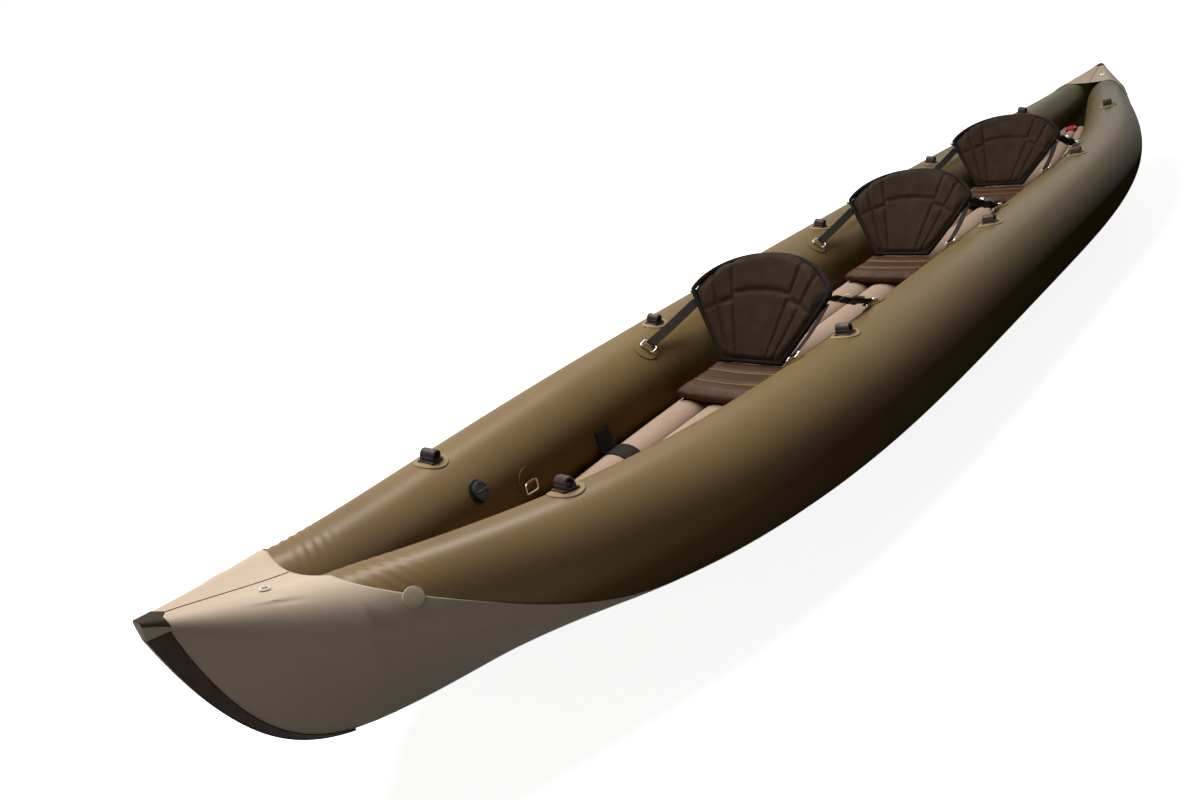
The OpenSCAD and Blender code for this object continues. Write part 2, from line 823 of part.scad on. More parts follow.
foot_steps = 3;
strap_rise_angles = [72, 80, 87];
function floor_under(x, share, lift) = floor_top(x, share) + [0, 0, lift];
function foot_half(x, lift) = concat(
    [for (a = strap_rise_angles) tube_point(x, -a, lift + soft_clearance)],
    [for (s = top_shares) if (s > 0.02 && s < 0.5) floor_under(x, s, lift)],
    [floor_under(x, 0.5, lift)]
);
function foot_line(x, lift) =
    let (half = foot_half(x, lift))
    concat(half, [for (i = [len(half) - 2:-1:0]) [half[i].x, -half[i].y, half[i].z]]);
function foot_ring(x) =
    concat(foot_line(x, soft_clearance * 2),
        reversed(foot_line(x, soft_clearance * 2 + strap_thickness)));

module foot_strap() {
    middle = bow_x + foot_strap_inset;
    color(charcoal) sheet([for (i = [0:foot_steps])
        foot_ring(middle + foot_strap_width * (i / foot_steps - 0.5))]);
}

// Seat cushions

cushion_rows = [0, 0.03, 0.1, 0.24, 0.34, 0.38, 0.42, 0.55, 0.66, 0.7, 0.74, 0.86, 0.97, 1];
cushion_columns = [-1, -0.94, -0.8, -0.5, 0, 0.5, 0.8, 0.94, 1];
cushion_channels = [0.38, 0.7];
cushion_draw_in = 7;
channel_half = 0.05;

function channel(v, seams) = max([for (s = seams) 1 - min(1, abs(v - s) / channel_half)]);
function crown(u) = 1 - pow(abs(u), 6);
function cushion_front(fold) = fold + cushion_behind - cushion_length;
function cushion_low(fold) = floor_z(fold) + soft_clearance;
function cushion_point(fold, row, column, top) =
    let (u = column)
    let (v = 2 * row - 1)
    let (drawn = cushion_draw_in * (1 - abs(u * v)))
    let (full = crown(u) * crown(v))
    let (height = cushion_height * (0.45 + 0.55 * full)
        - channel_depth * full * channel(row, cushion_channels))
    [
        cushion_front(fold) + cushion_length * row
            + (abs(v) == 1 ? -sign(v) * drawn : 0) - 10 * (1 - u * u) * (1 - row),
        u * (cushion_width / 2 - (abs(u) == 1 ? drawn : 0)),
        cushion_low(fold) + (top ? height : cushion_height * 0.12 * (1 - full))
    ];

// Two facing grids of points joined along their edges
module pad(front, back) {
    rows = len(front);
    columns = len(front[0]);
    shift = rows * columns;
    quads = [for (i = [0:rows - 2], j = [0:columns - 2]) [i * columns + j, (i + 1) * columns + j]];
    rim = concat(
        [for (j = [0:columns - 1]) j],
        [for (i = [1:rows - 1]) i * columns + columns - 1],
        [for (j = [columns - 2:-1:0]) (rows - 1) * columns + j],
        [for (i = [rows - 2:-1:1]) i * columns]
    );
    faces = [for (q = quads) each [
        [q[0], q[0] + 1, q[1] + 1], [q[0], q[1] + 1, q[1]],
        [shift + q[0], shift + q[1] + 1, shift + q[0] + 1],
        [shift + q[0], shift + q[1], shift + q[1] + 1]
    ]];
    wall = [for (k = [0:len(rim) - 1])
        let (a = rim[k])
        let (b = rim[(k + 1) % len(rim)])
        each [[b, a, shift + a], [b, shift + a, shift + b]]];
    polyhedron(
        concat([for (line = front) each line], [for (line = back) each line]),
        concat(faces, wall)
    );
}

module cushion(fold) {
    color(dark_brown) pad(
        [for (r = cushion_rows) [for (c = cushion_columns) cushion_point(fold, r, c, true)]],
        [for (r = cushion_rows) [for (c = cushion_columns) cushion_point(fold, r, c, false)]]
    );
}

// Backrests: a padded fan, hollowed towards the paddler, that folds about its lower edge

back_columns = [-1, -0.95, -0.86, -0.77, -0.72, -0.67, -0.6, -0.53, -0.48, -0.43, -0.22, 0,
    0.22, 0.43, 0.48, 0.53, 0.6, 0.67, 0.72, 0.77, 0.86, 0.95, 1];
back_rows = [0, 0.04, 0.14, 0.3, 0.46, 0.6, 0.65, 0.7, 0.82, 0.94, 1];
back_seams = [-0.72, -0.48, 0.48, 0.72];
arch_seam = 0.65;
corner_rounding = 0.03;

function fold_z(fold) = cushion_low(fold) + cushion_height + soft_clearance + back_edge / 2;
function back_rise(u) =
    back_corner_height + (back_height - back_corner_height) * (1 - pow(abs(u), 2.2));
function back_half(v) = mix(back_base_half, back_corner_half, v);
function corner_cut(u, v) = 1 - corner_rounding * pow(abs(u), 8) * pow(v, 8);
function back_at(fold, height, side, out) =
    let (wrap = back_wrap * pow(side / back_corner_half, 2) + out)
    [
        fold + height * sin(back_lean) - wrap * cos(back_lean),
        side,
        fold_z(fold) + height * cos(back_lean) + wrap * sin(back_lean)
    ];
function back_padding(u, v) =
    back_edge + (back_thickness - back_edge) * crown(u) * crown(2 * v - 1);
function back_channel(u, v) =
    channel_depth * crown(u) * crown(2 * v - 1) * max(channel(u, back_seams), channel(v, [arch_seam]));
function back_point(fold, u, v, front) =
    back_at(fold, v * back_rise(u) * corner_cut(u, v), u * back_half(v) * corner_cut(u, v),
        front ? back_padding(u, v) / 2 - back_channel(u, v) : -back_padding(u, v) / 2);

module backrest(fold) {
    color(dark_brown) pad(
        [for (v = back_rows) [for (u = back_columns) back_point(fold, u, v, false)]],
        [for (v = back_rows) [for (u = back_columns) back_point(fold, u, v, true)]]
    );
}

// Seat straps run straight from a ring on the tube to the backrest's edge

function strap_sewn(fold, height) =
    let (edge = mix(back_base_half, back_corner_half, height / back_corner_height))
    back_at(fold, height, edge + strap_end_room, 0);
function front_anchor(fold) = [fold - front_ring_ahead, -front_ring_angle];
function rear_anchor(fold) = [fold + rear_ring_behind, -rear_ring_angle];
function bar_centre(anchor) =
    tube_point(anchor[0], anchor[1], 0) + tube_normal(anchor[0], anchor[1]) * bar_height;
function strap_run(anchor, sewn) = unit(sewn - bar_centre(anchor));
function bar_run(anchor, sewn) = unit(cross(strap_run(anchor, sewn), tube_normal(anchor[0], anchor[1])));
function strap_frame(anchor, sewn) =
    let (ex = bar_run(anchor, sewn))
    let (ey = strap_run(anchor, sewn))
    frame(ex, ey, cross(ex, ey), bar_centre(anchor));
function strap_length(anchor, sewn) = norm(sewn - bar_centre(anchor));
function front_sewn(fold) = strap_sewn(fold, front_strap_height);
function rear_sewn(fold) = strap_sewn(fold, rear_strap_height);

eye_room = 0.3;

module strap(anchor, sewn) {
    eye = ring_wire / 2 + eye_room;
    start = ring_depth + eye + strap_thickness / 2;
    multmatrix(strap_frame(anchor, sewn)) {
        translate([0, ring_depth, 0]) rotate([0, 90, 0]) difference() {
            cylinder(r = eye + strap_thickness, h = strap_width, center = true);
            cylinder(r = eye, h = 2 * strap_width, center = true);
        }
        translate([-strap_width / 2, start, -strap_thickness / 2])
            cube([strap_width, strap_length(anchor, sewn) - start, strap_thickness]);
    }
}

module front_straps(fold) {
    color(charcoal) both_sides() strap(front_anchor(fold), front_sewn(fold));
}

module rear_straps(fold) {
    color(charcoal) both_sides() strap(rear_anchor(fold), rear_sewn(fold));
}

module rings(fold) {
    color(steel) both_sides() {
        multmatrix(strap_frame(front_anchor(fold), front_sewn(fold))) wire_ring();
        multmatrix(strap_frame(rear_anchor(fold), rear_sewn(fold))) wire_ring();
    }
}

module ring_patches(fold) {
    front = front_anchor(fold);
    rear = rear_anchor(fold);
    color(grey) both_sides() {
        ring_patch_and_tab(front[0], front[1], bar_run(front, front_sewn(fold)));
        ring_patch_and_tab(rear[0], rear[1], bar_run(rear, rear_sewn(fold)));
    }
}

// Two plates on two side bars, with a slot between them through which the strap runs
bar_seam = 0.05;

module slotted(length, thickness) {
    slot = strap_thickness + 2 * slot_play;
    plate = (thickness - slot) / 2;
    width = strap_width + 2 * (slot_play + slot_rim);
    for (side = [-1, 1]) {
        translate([0, 0, side * (slot + plate) / 2]) cube([width, length, plate], center = true);
        translate([side * (width - slot_rim) / 2, 0, 0])
            cube([slot_rim, length, slot - 2 * bar_seam], center = true);
    }
}

buckle_share = 0.44;
slider_share = 0.74;

module on_rear_strap(fold, share) {
    anchor = rear_anchor(fold);
    sewn = rear_sewn(fold);
    multmatrix(strap_frame(anchor, sewn))
        translate([0, share * strap_length(anchor, sewn), 0]) children();
}

module buckles(fold) {
    color(charcoal) both_sides()
        on_rear_strap(fold, buckle_share) slotted(buckle_length, buckle_thickness);
}

module starboard_slider(fold) {
    color(steel) on_rear_strap(fold, slider_share) slotted(slider_length, slider_thickness);
}

module port_slider(fold) {
    mirror([0, 1, 0]) starboard_slider(fold);
}

port_tube();
starboard_tube();
bottom_skin();
bow_cap();
stern_cap();
bow_stem_strip();
stern_stem_strip();
cap_patches();
grommets();
floor_mattress();
on_port_valve() valve_body();  // port_valve_body
on_port_valve() valve_spring();  // port_valve_spring
on_port_valve() valve_plunger();  // port_valve_plunger
on_port_valve() valve_cap(charcoal);  // port_valve_cap
on_starboard_valve() valve_body();  // starboard_valve_body
on_starboard_valve() valve_spring();  // starboard_valve_spring
on_starboard_valve() valve_plunger();  // starboard_valve_plunger
on_starboard_valve() valve_cap(charcoal);  // starboard_valve_cap
on_floor_valve() valve_body();  // floor_valve_body
on_floor_valve() valve_spring();  // floor_valve_spring
on_floor_valve() valve_plunger();  // floor_valve_plunger
on_floor_valve() valve_cap(red);  // floor_valve_cap
lashing_patches();
port_lashing_loops();
starboard_lashing_loops();
free_ring_patches();
port_free_ring();
starboard_free_ring();
foot_strap();
for (seat = [1:3]) {
    fold = seat_folds[seat - 1];
    cushion(fold);
    backrest(fold);
    front_straps(fold);
    rear_straps(fold);
    rings(fold);
    ring_patches(fold);
    buckles(fold);
    port_slider(fold);
    starboard_slider(fold);
}
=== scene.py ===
"""Looks of a three-seat inflatable kayak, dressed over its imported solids."""

import logging
import math
from collections.abc import Callable, Sequence
from dataclasses import dataclass, field
from enum import Enum

import bmesh
import bpy
from bpy.types import Material, Mesh, Node, NodeSocket, NodeTree, Object
from mathutils import Matrix, Vector


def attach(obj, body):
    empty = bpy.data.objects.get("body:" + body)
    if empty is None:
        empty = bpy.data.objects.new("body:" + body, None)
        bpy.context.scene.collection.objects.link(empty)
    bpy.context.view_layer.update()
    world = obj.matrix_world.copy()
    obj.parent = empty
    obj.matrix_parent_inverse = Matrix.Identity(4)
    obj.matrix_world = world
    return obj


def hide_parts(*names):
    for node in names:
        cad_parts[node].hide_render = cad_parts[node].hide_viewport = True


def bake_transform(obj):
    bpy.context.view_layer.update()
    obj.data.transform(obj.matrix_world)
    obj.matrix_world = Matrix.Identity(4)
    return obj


LOG = logging.getLogger("kayak")
WAVE_PITCH = 0.314
SHARP_ANGLE = math.radians(40.0)
MIX_INPUTS = (0, 6, 7)
BMesh = bmesh.types.BMesh
Colour = tuple[float, float, float, float]
Place = Callable[[float, float], Vector]

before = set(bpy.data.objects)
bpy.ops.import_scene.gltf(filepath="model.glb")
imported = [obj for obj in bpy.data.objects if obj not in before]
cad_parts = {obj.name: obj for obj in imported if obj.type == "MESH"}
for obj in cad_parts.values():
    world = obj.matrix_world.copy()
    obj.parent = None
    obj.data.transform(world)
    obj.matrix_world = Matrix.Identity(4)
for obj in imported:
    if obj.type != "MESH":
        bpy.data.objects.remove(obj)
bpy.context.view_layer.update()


class Side(Enum):
    """The two sides of the boat, as signs of Y."""

    PORT = -1
    STARBOARD = 1


class End(Enum):
    """The two ends of the boat, as signs of X."""

    BOW = -1
    STERN = 1


class Weave(Enum):
    """Which coordinates a fabric's threads follow."""

    SURFACE = "UV"
    SPACE = "Object"


def mix(a: float, b: float, share: float) -> float:
    """Value that lies a share of the way from a to b."""
    return a + (b - a) * share


def clamp(value: float) -> float:
    """Value held between 0 and 1."""
    return max(0.0, min(1.0, value))


def ease(value: float) -> float:
    """Smooth step from 0 to 1."""
    value = clamp(value)
    return value * value * (3 - 2 * value)


def bump(value: float, middle: float, width: float) -> float:
    """Bell of height 1 round a middle."""
    return math.exp(-(((value - middle) / width) ** 2))


def linear(code: str) -> Colour:
    """Scene colour of a six-digit display colour."""
    parts = [int(code[i : i + 2], 16) / 255 for i in (0, 2, 4)]
    red, green, blue = (c / 12.92 if c <= 0.04045 else ((c + 0.055) / 1.055) ** 2.4 for c in parts)
    return (red, green, blue, 1.0)


def half(share: float) -> tuple[Side, float]:
    """Side that a share of a whole section lies on, and its share of that half."""
    return Side.STARBOARD if share >= 0.5 else Side.PORT, abs(2 * share - 1)


class Tree:
    """A node tree, built a node at a time."""

    def __init__(self, tree: NodeTree) -> None:
        """Take the tree of a material or a world."""
        self.tree = tree

    def node(self, kind: str, values: dict[str | int, object] | None = None, **settings: object) -> Node:
        """Add a node.

        Args:
            kind: The node's type.
            values: Input values, or sockets to link, by input name or number.
            settings: Properties of the node itself.

        Returns:
            The new node.
        """
        node = self.tree.nodes.new(kind)
        for key, value in settings.items():
            setattr(node, key, value)
        for key, value in (values or {}).items():
            self.feed(node.inputs[key], value)
        return node

    def feed(self, socket: NodeSocket, value: object) -> None:
        """Link a socket, or set its value."""
        if isinstance(value, NodeSocket):
            self.tree.links.new(value, socket)
        else:
            socket.default_value = value

    def math(self, operation: str, first: NodeSocket, second: NodeSocket) -> NodeSocket:
        """Number made of two others."""
        return self.node("ShaderNodeMath", {0: first, 1: second}, operation=operation).outputs[0]

    def span(
        self, value: NodeSocket, low: float, high: float, start: float = 0.3, stop: float = 0.7
    ) -> NodeSocket:
        """Number moved from one range to another and held there."""
        values = {"Value": value, "From Min": start, "From Max": stop, "To Min": low, "To Max": high}
        return self.node("ShaderNodeMapRange", values).outputs[0]

    def blend(self, share: object, first: object, second: object) -> NodeSocket:
        """Mix two colours by a share."""
        node = self.node("ShaderNodeMix", data_type="RGBA")
        for number, value in zip(MIX_INPUTS, (share, first, second)):
            self.feed(node.inputs[number], value)
        return node.outputs[2]

    def seen(self) -> NodeSocket:
        """Number that is 1 for rays that show the background, straight or in a reflection."""
        rays = self.node("ShaderNodeLightPath").outputs
        total = rays["Is Camera Ray"]
        for ray in ("Is Glossy Ray", "Is Transmission Ray"):
            total = self.math("MAXIMUM", total, rays[ray])
        return total


class Graph(Tree):
    """A material's node tree, round its Principled shader."""

    def __init__(self, name: str) -> None:
        """Start a material."""
        self.material = bpy.data.materials.new(name)
        self.material.use_nodes = True
        super().__init__(self.material.node_tree)
        self.shader = self.tree.nodes["Principled BSDF"]

    def set(self, name: str, value: object) -> None:
        """Feed one of the shader's sockets."""
        self.feed(self.shader.inputs[name], value)

    def constant(self, **values: float) -> None:
        """Set plain numbers on the shader's sockets."""
        for key, value in values.items():
            self.set(key.replace("_", " "), value)

    def coords(self, weave: Weave) -> NodeSocket:
        """Object or UV coordinates."""
        return self.node("ShaderNodeTexCoord").outputs[weave.value]

    def axis(self, vector: NodeSocket, number: int) -> NodeSocket:
        """One coordinate of a vector."""
        return self.node("ShaderNodeSeparateXYZ", {0: vector}).outputs[number]

    def noise(self, vector: NodeSocket, scale: float, detail: float = 3.0) -> NodeSocket:
        """Noise of a given scale, as a number."""
        values = {"Vector": vector, "Scale": scale, "Detail": detail}
        return self.node("ShaderNodeTexNoise", values).outputs[0]

    def threads(self, vector: NodeSocket, pitch: float) -> NodeSocket:
        """Crossing threads of a plain weave, as a height."""
        values = {"Vector": vector, "Scale": WAVE_PITCH / pitch}
        bands = [
            self.node("ShaderNodeTexWave", values, wave_type="BANDS", bands_direction=axis).outputs[1]
            for axis in ("X", "Y")
        ]
        return self.math("MULTIPLY", *bands)

    def relief(self, heights: Sequence[tuple[NodeSocket, float, float]]) -> None:
        """Stack bumps into the shader's normal.

        Args:
            heights: A height socket, a strength and a depth in metres for each bump.
        """
        normal = None
        for height, strength, depth in heights:
            values = {"Height": height, "Strength": strength, "Distance": depth}
            if normal is not None:
                values["Normal"] = normal
            normal = self.node("ShaderNodeBump", values).outputs[0]
        self.set("Normal", normal)


@dataclass(frozen=True)
class Finish:
    """A surface's name and its two colours."""

    name: str
    tint: str
    shade: str

    def material(self) -> Material:
        """Build the node material."""
        raise NotImplementedError

    def colours(self) -> tuple[Colour, Colour]:
        """Scene colours of the tint and the shade."""
        return linear(self.tint), linear(self.shade)


@dataclass(frozen=True)
class CoatedFabric(Finish):
    """Fabric with a smooth plastic coat, as on tubes and skins, with an optional painted light tint along its
    length.
    """

    # Painted light: a second tint blended in along the length, standing in for greener light towards the
    # stern, not the fabric's own colour.
    painted_light_tint: str | None = None
    painted_light_span: tuple[float, float] = (-2.2, 2.4)
    roughness: float = 0.42
    coat: float = 0.2
    matt_span: tuple[float, float] | None = None
    thread: float = 0.0012
    thread_depth: float = 0.00006
    dimple: float = 0.0006

    def material(self) -> Material:
        """Build the node material."""
        graph = Graph(self.name)
        space = graph.coords(Weave.SPACE)
        tint, shade = self.colours()
        # Painted light: the base tint shifts along X to the second tint, so the stern reads greener, as its
        # light makes it look.
        if self.painted_light_tint:
            along = graph.span(graph.axis(space, 0), 0.0, 1.0, *self.painted_light_span)
            tint = graph.blend(along, tint, linear(self.painted_light_tint))
        cloud = graph.span(graph.noise(space, 3.5, 4.0), 0.0, 0.55)
        scuff = graph.span(graph.noise(space, 90.0, 2.0), 0.0, 0.18, 0.5, 0.8)
        graph.set("Base Color", graph.blend(scuff, graph.blend(cloud, tint, shade), shade))
        patchy = graph.noise(space, 14.0, 3.0)
        graph.set("Roughness", graph.span(patchy, self.roughness - 0.05, self.roughness + 0.07))
        graph.constant(Specular_IOR_Level=0.0, Coat_Weight=self.coat, Coat_Roughness=self.roughness)
        if self.matt_span:
            coat = graph.span(graph.axis(space, 2), 0.0, self.coat, *self.matt_span)
            graph.set("Coat Weight", coat)
        weave = graph.threads(graph.coords(Weave.SURFACE), self.thread)
        graph.relief([(weave, 0.35, self.thread_depth), (graph.noise(space, 45.0, 2.0), 0.25, self.dimple)])
        return graph.material


@dataclass(frozen=True)
class PaddedCloth(Finish):
    """Woven cover of a padded piece."""

    thread: float = 0.0016
    roughness: float = 0.78
    sheen: float = 0.05

    def material(self) -> Material:
        """Build the node material."""
        graph = Graph(self.name)
        space = graph.coords(Weave.SPACE)
        turned = graph.node("ShaderNodeMapping", {"Vector": space, "Rotation": (0.0, 0.6, 0.0)}).outputs[0]
        weave = graph.threads(turned, self.thread)
        tint, shade = self.colours()
        colour = graph.blend(graph.span(graph.noise(space, 12.0, 4.0), 0.0, 0.7), tint, shade)
        lit = graph.blend(graph.span(weave, 0.0, 0.35, 0.0, 1.0), shade, colour)
        graph.set("Base Color", graph.blend(0.6, lit, colour))
        fuzz = graph.noise(space, 30.0)
        graph.set("Roughness", graph.span(fuzz, self.roughness - 0.08, self.roughness + 0.08))
        graph.constant(Sheen_Weight=self.sheen, Sheen_Roughness=0.5, Specular_IOR_Level=0.1)
        graph.relief([(weave, 0.5, 0.0003), (graph.noise(space, 55.0), 0.3, 0.0012)])
        return graph.material


@dataclass(frozen=True)
class Webbing(Finish):
    """Ribbed strap webbing, its ribs across the strap."""

    rib: float = 0.0022

    def material(self) -> Material:
        """Build the node material."""
        graph = Graph(self.name)
        surface = graph.coords(Weave.SURFACE)
        weave = graph.threads(surface, self.rib)
        tint, shade = self.colours()
        graph.set("Base Color", graph.blend(graph.span(weave, 0.0, 1.0, 0.0, 0.8), shade, tint))
        graph.set("Roughness", graph.span(graph.noise(surface, 300.0), 0.6, 0.8))
        graph.constant(Specular_IOR_Level=0.15)
        graph.relief([(weave, 0.7, 0.0004)])
        return graph.material


@dataclass(frozen=True)
class Moulded(Finish):
    """Moulded rubber or plastic with a fine grain."""

    roughness: float = 0.45
    specular: float = 0.3
    grain: float = 900.0

    def material(self) -> Material:
        """Build the node material."""
        graph = Graph(self.name)
        space = graph.coords(Weave.SPACE)
        share = graph.span(graph.noise(space, 40.0, 3.0), 0.0, 0.8)
        graph.set("Base Color", graph.blend(share, *self.colours()))
        patchy = graph.noise(space, 120.0)
        graph.set("Roughness", graph.span(patchy, self.roughness - 0.06, self.roughness + 0.1))
        graph.constant(Specular_IOR_Level=self.specular)
        graph.relief([(graph.noise(space, self.grain, 2.0), 0.25, 0.0002)])
        return graph.material


@dataclass(frozen=True)
class Metal(Finish):
    """Polished wire or sheet metal with light wear."""

    roughness: float = 0.25

    def material(self) -> Material:
        """Build the node material."""
        graph = Graph(self.name)
        space = graph.coords(Weave.SPACE)
        share = graph.span(graph.noise(space, 160.0, 3.0), 0.0, 0.5)
        graph.set("Base Color", graph.blend(share, *self.colours()))
        patchy = graph.noise(space, 260.0)
        graph.set("Roughness", graph.span(patchy, self.roughness - 0.07, self.roughness + 0.12))
        graph.constant(Metallic=1.0)
        graph.relief([(graph.noise(space, 700.0, 2.0), 0.1, 0.0001)])
        return graph.material


class Palette:
    """Every finish on the boat, each made into a material once."""

    # The tube's fourth colour is painted light: a greener tint towards the stern, standing in for the light
    # there.
    TUBE = CoatedFabric(
        "tube_fabric", "6d5837", "59472b", "434629", roughness=0.36, coat=0.4, matt_span=(0.25, 0.37)
    )
    SKIN = CoatedFabric("skin_fabric", "b4a696", "a39585", roughness=0.46, coat=0.16)
    FLOOR = CoatedFabric("floor_fabric", "998678", "877467", roughness=0.5, coat=0.12)
    PATCH = CoatedFabric("patch_fabric", "85745a", "73634b", roughness=0.45, coat=0.2)
    STRIP = Moulded("strip_rubber", "2e241d", "231b16", roughness=0.55, specular=0.06)
    LOOP = Moulded("loop_rubber", "2c1f1a", "1e1512", roughness=0.45, specular=0.2)
    SEAT = PaddedCloth("seat_cloth", "2c2116", "20170f", sheen=0.0)
    SEAT_PAD = PaddedCloth("cushion_cloth", "432d1b", "322114", roughness=0.5, sheen=0.0)
    BINDING = PaddedCloth("seat_binding", "17110e", "0e0a08", thread=0.0012, sheen=0.0)
    PIPING = PaddedCloth("seat_piping", "8a6a48", "73573a", thread=0.0012, roughness=0.5, sheen=0.0)
    STRAP = Webbing("webbing", "191412", "0c0908")
    BUCKLE = Moulded("buckle_plastic", "161414", "0e0c0c", roughness=0.4)
    VALVE = Moulded("valve_plastic", "1b1816", "100e0d", roughness=0.4)
    PLUNGER = Moulded("plunger_plastic", "8f8a82", "7b766f", roughness=0.45)
    RED = Moulded("red_plastic", "a8231f", "8a1a17", roughness=0.4)
    STEEL = Metal("steel", "d6d4cf", "8d8c88")
    made: dict[str, Material] = {}

    @classmethod
    def get(cls, finish: Finish) -> Material:
        """Material of a finish, made on first use."""
        if finish.name not in cls.made:
            cls.made[finish.name] = finish.material()
        return cls.made[finish.name]


def bent_grid(columns: int, rows: int, place: Place, size: tuple[float, float]) -> BMesh:
    """Make a grid and bend it into place.

    Args:
        columns: Faces along the first direction.
        rows: Faces along the second direction.
        place: Gives the point for a share along each direction.
        size: Real size of the sheet, for its UV map.

    Returns:
        The mesh, with coincident edges and poles merged.
    """
    bm = bmesh.new()
    bmesh.ops.create_grid(bm, x_segments=columns, y_segments=rows, size=1.0)
    layer = bm.loops.layers.uv.new("UVMap")
    shares = {vert: ((vert.co.x + 1) / 2, (vert.co.y + 1) / 2) for vert in bm.verts}
    for face in bm.faces:
        for loop in face.loops:
            u, v = shares[loop.vert]
            loop[layer].uv = (u * size[0], v * size[1])
    for vert, (u, v) in shares.items():
        vert.co = place(u, v)
    bmesh.ops.remove_doubles(bm, verts=bm.verts, dist=1e-6)
    return bm


def outwards(bm: BMesh) -> BMesh:
    """Point a closed mesh's faces outwards."""
    bmesh.ops.recalc_face_normals(bm, faces=bm.faces)
    return bm


def put(bm: BMesh, matrix: Matrix) -> BMesh:
    """Move a mesh by a matrix."""
    bmesh.ops.transform(bm, matrix=matrix, verts=bm.verts)
    return bm


def spin(bm: BMesh, axis: Sequence[float], steps: int) -> BMesh:
    """Spin a mesh's edges through a full turn and point the faces outwards."""
    bmesh.ops.spin(
        bm,
        geom=bm.verts[:] + bm.edges[:],
        cent=(0, 0, 0),
        axis=axis,
        angle=math.tau,
        steps=steps,
        use_merge=True,
    )
    bmesh.ops.remove_doubles(bm, verts=bm.verts, dist=1e-7)
    return outwards(bm)


def face_away(bm: BMesh, inside: Callable[[Vector], Vector]) -> None:
    """Turn a sheet's faces away from an inside point.

    Args:
        bm: The sheet.
        inside: Gives the inside point nearest to a face's middle.
    """
    outwards(bm)
    total = 0.0
    for face in bm.faces:
        middle = face.calc_center_median()
        total += face.normal.dot(middle - inside(middle)) * face.calc_area()
    if total < 0:
        bmesh.ops.reverse_faces(bm, faces=bm.faces)


def close_ends(bm: BMesh) -> None:
    """Fill the open ends of a tube and point its faces outwards."""
    edges = [edge for edge in bm.edges if edge.is_boundary]
    bmesh.ops.holes_fill(bm, edges=edges, sides=0)
    outwards(bm)


def piece(bm: BMesh, name: str, finish: Finish) -> Object:
    """Turn a mesh into an object of the scene.

    Args:
        bm: The mesh, which is freed.
        name: The piece's name.
        finish: The finish of its faces.

    Returns:
        The new object.
    """
    mesh = bpy.data.meshes.new(name)
    for face in bm.faces:
        face.smooth = True
    bm.to_mesh(mesh)
    bm.free()
    mesh.set_sharp_from_angle(angle=SHARP_ANGLE)
    mesh.materials.append(Palette.get(finish))
    obj = bpy.data.objects.new(name, mesh)
    bpy.context.scene.collection.objects.link(obj)
    LOG.info("%s: %d faces", name, len(mesh.polygons))
    return obj


def thicken(obj: Object, thickness: float, offset: float = -1.0) -> Object:
    """Give a sheet its thickness with a modifier."""
    wall = obj.modifiers.new("wall", "SOLIDIFY")
    wall.thickness = thickness
    wall.offset = offset
    return obj


def subdivide(obj: Object, levels: int = 1) -> Object:
    """Smooth a piece with a subdivision surface."""
    surface = obj.modifiers.new("smooth", "SUBSURF")
    surface.levels = levels
    surface.render_levels = levels
    return obj


def join(name: str, parts: Sequence[BMesh]) -> BMesh:
    """Put several meshes into one.

    Args:
        name: Name for the passing meshes.
        parts: The meshes, which are freed.

    Returns:
        The joined mesh.
    """
    whole = bmesh.new()
    for part in parts:
        passing = bpy.data.meshes.new(name)
        part.to_mesh(passing)
        part.free()
        whole.from_mesh(passing)
        bpy.data.meshes.remove(passing)
    return whole


def block(size: Sequence[float], at: Sequence[float], edge: float, segments: int = 3) -> BMesh:
    """Box with rounded edges.

    Args:
        size: Its three sizes.
        at: Its centre.
        edge: Radius of its edges.
        segments: Facets of a rounded edge.

    Returns:
        The mesh.
    """
    bm = bmesh.new()
    bmesh.ops.create_cube(bm, size=1.0)
    bmesh.ops.scale(bm, vec=Vector(size), verts=bm.verts)
    bmesh.ops.translate(bm, vec=Vector(at), verts=bm.verts)
    bmesh.ops.bevel(
        bm, geom=bm.edges, offset=edge, segments=segments, profile=0.5, affect="EDGES", material=-1
    )
    return bm


def turned(profile: Sequence[tuple[float, float]], steps: int = 48) -> BMesh:
    """Spin a profile of radius and height about Z.

    Args:
        profile: Radius and height of each corner, from the axis or round a closed loop.
        steps: Facets of a full turn.

    Returns:
        The mesh.
    """
    bm = bmesh.new()
    verts = [bm.verts.new((radius, 0.0, height)) for radius, height in profile]
    for pair in zip(verts, verts[1:]):
        bm.edges.new(pair)
    return spin(bm, (0, 0, 1), steps)


def cable(
    name: str, points: Sequence[Vector], radius: float, finish: Finish, closed: bool = False
) -> Object:
    """Round piping along a line of points.

    Args:
        name: The piece's name.
        points: The line it follows.
        radius: Its radius.
        finish: Its finish.
        closed: Whether it runs back to its start.

    Returns:
        The mesh piece.
    """
    curve = bpy.data.curves.new(name, "CURVE")
    curve.dimensions = "3D"
    curve.bevel_depth = radius
    curve.bevel_resolution = 3
    curve.use_fill_caps = True
    spline = curve.splines.new("POLY")
    spline.points.add(len(points) - 1)
    for target, point in zip(spline.points, points):
        target.co = (*point, 1.0)
    spline.use_cyclic_u = closed
    holder = bpy.data.objects.new(name + "_line", curve)
    bpy.context.scene.collection.objects.link(holder)
    graph = bpy.context.evaluated_depsgraph_get()
    mesh = bpy.data.meshes.new_from_object(holder.evaluated_get(graph))
    bpy.data.objects.remove(holder)
    bm = bmesh.new()
    bm.from_mesh(mesh)
    bpy.data.meshes.remove(mesh)
    bmesh.ops.remove_doubles(bm, verts=bm.verts, dist=1e-6)
    outwards(bm)
    return piece(bm, name, finish)


def settle(obj: Object, body: str, slot: str, *nodes: str) -> Object:
    """Ride a piece on a body and hide the solids it replaces.

    Args:
        obj: The piece.
        body: The body it moves with.
        slot: Not used.
        nodes: The solids that it replaces.

    Returns:
        The piece.
    """
    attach(obj, body)
    if nodes:
        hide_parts(*nodes)
    return obj


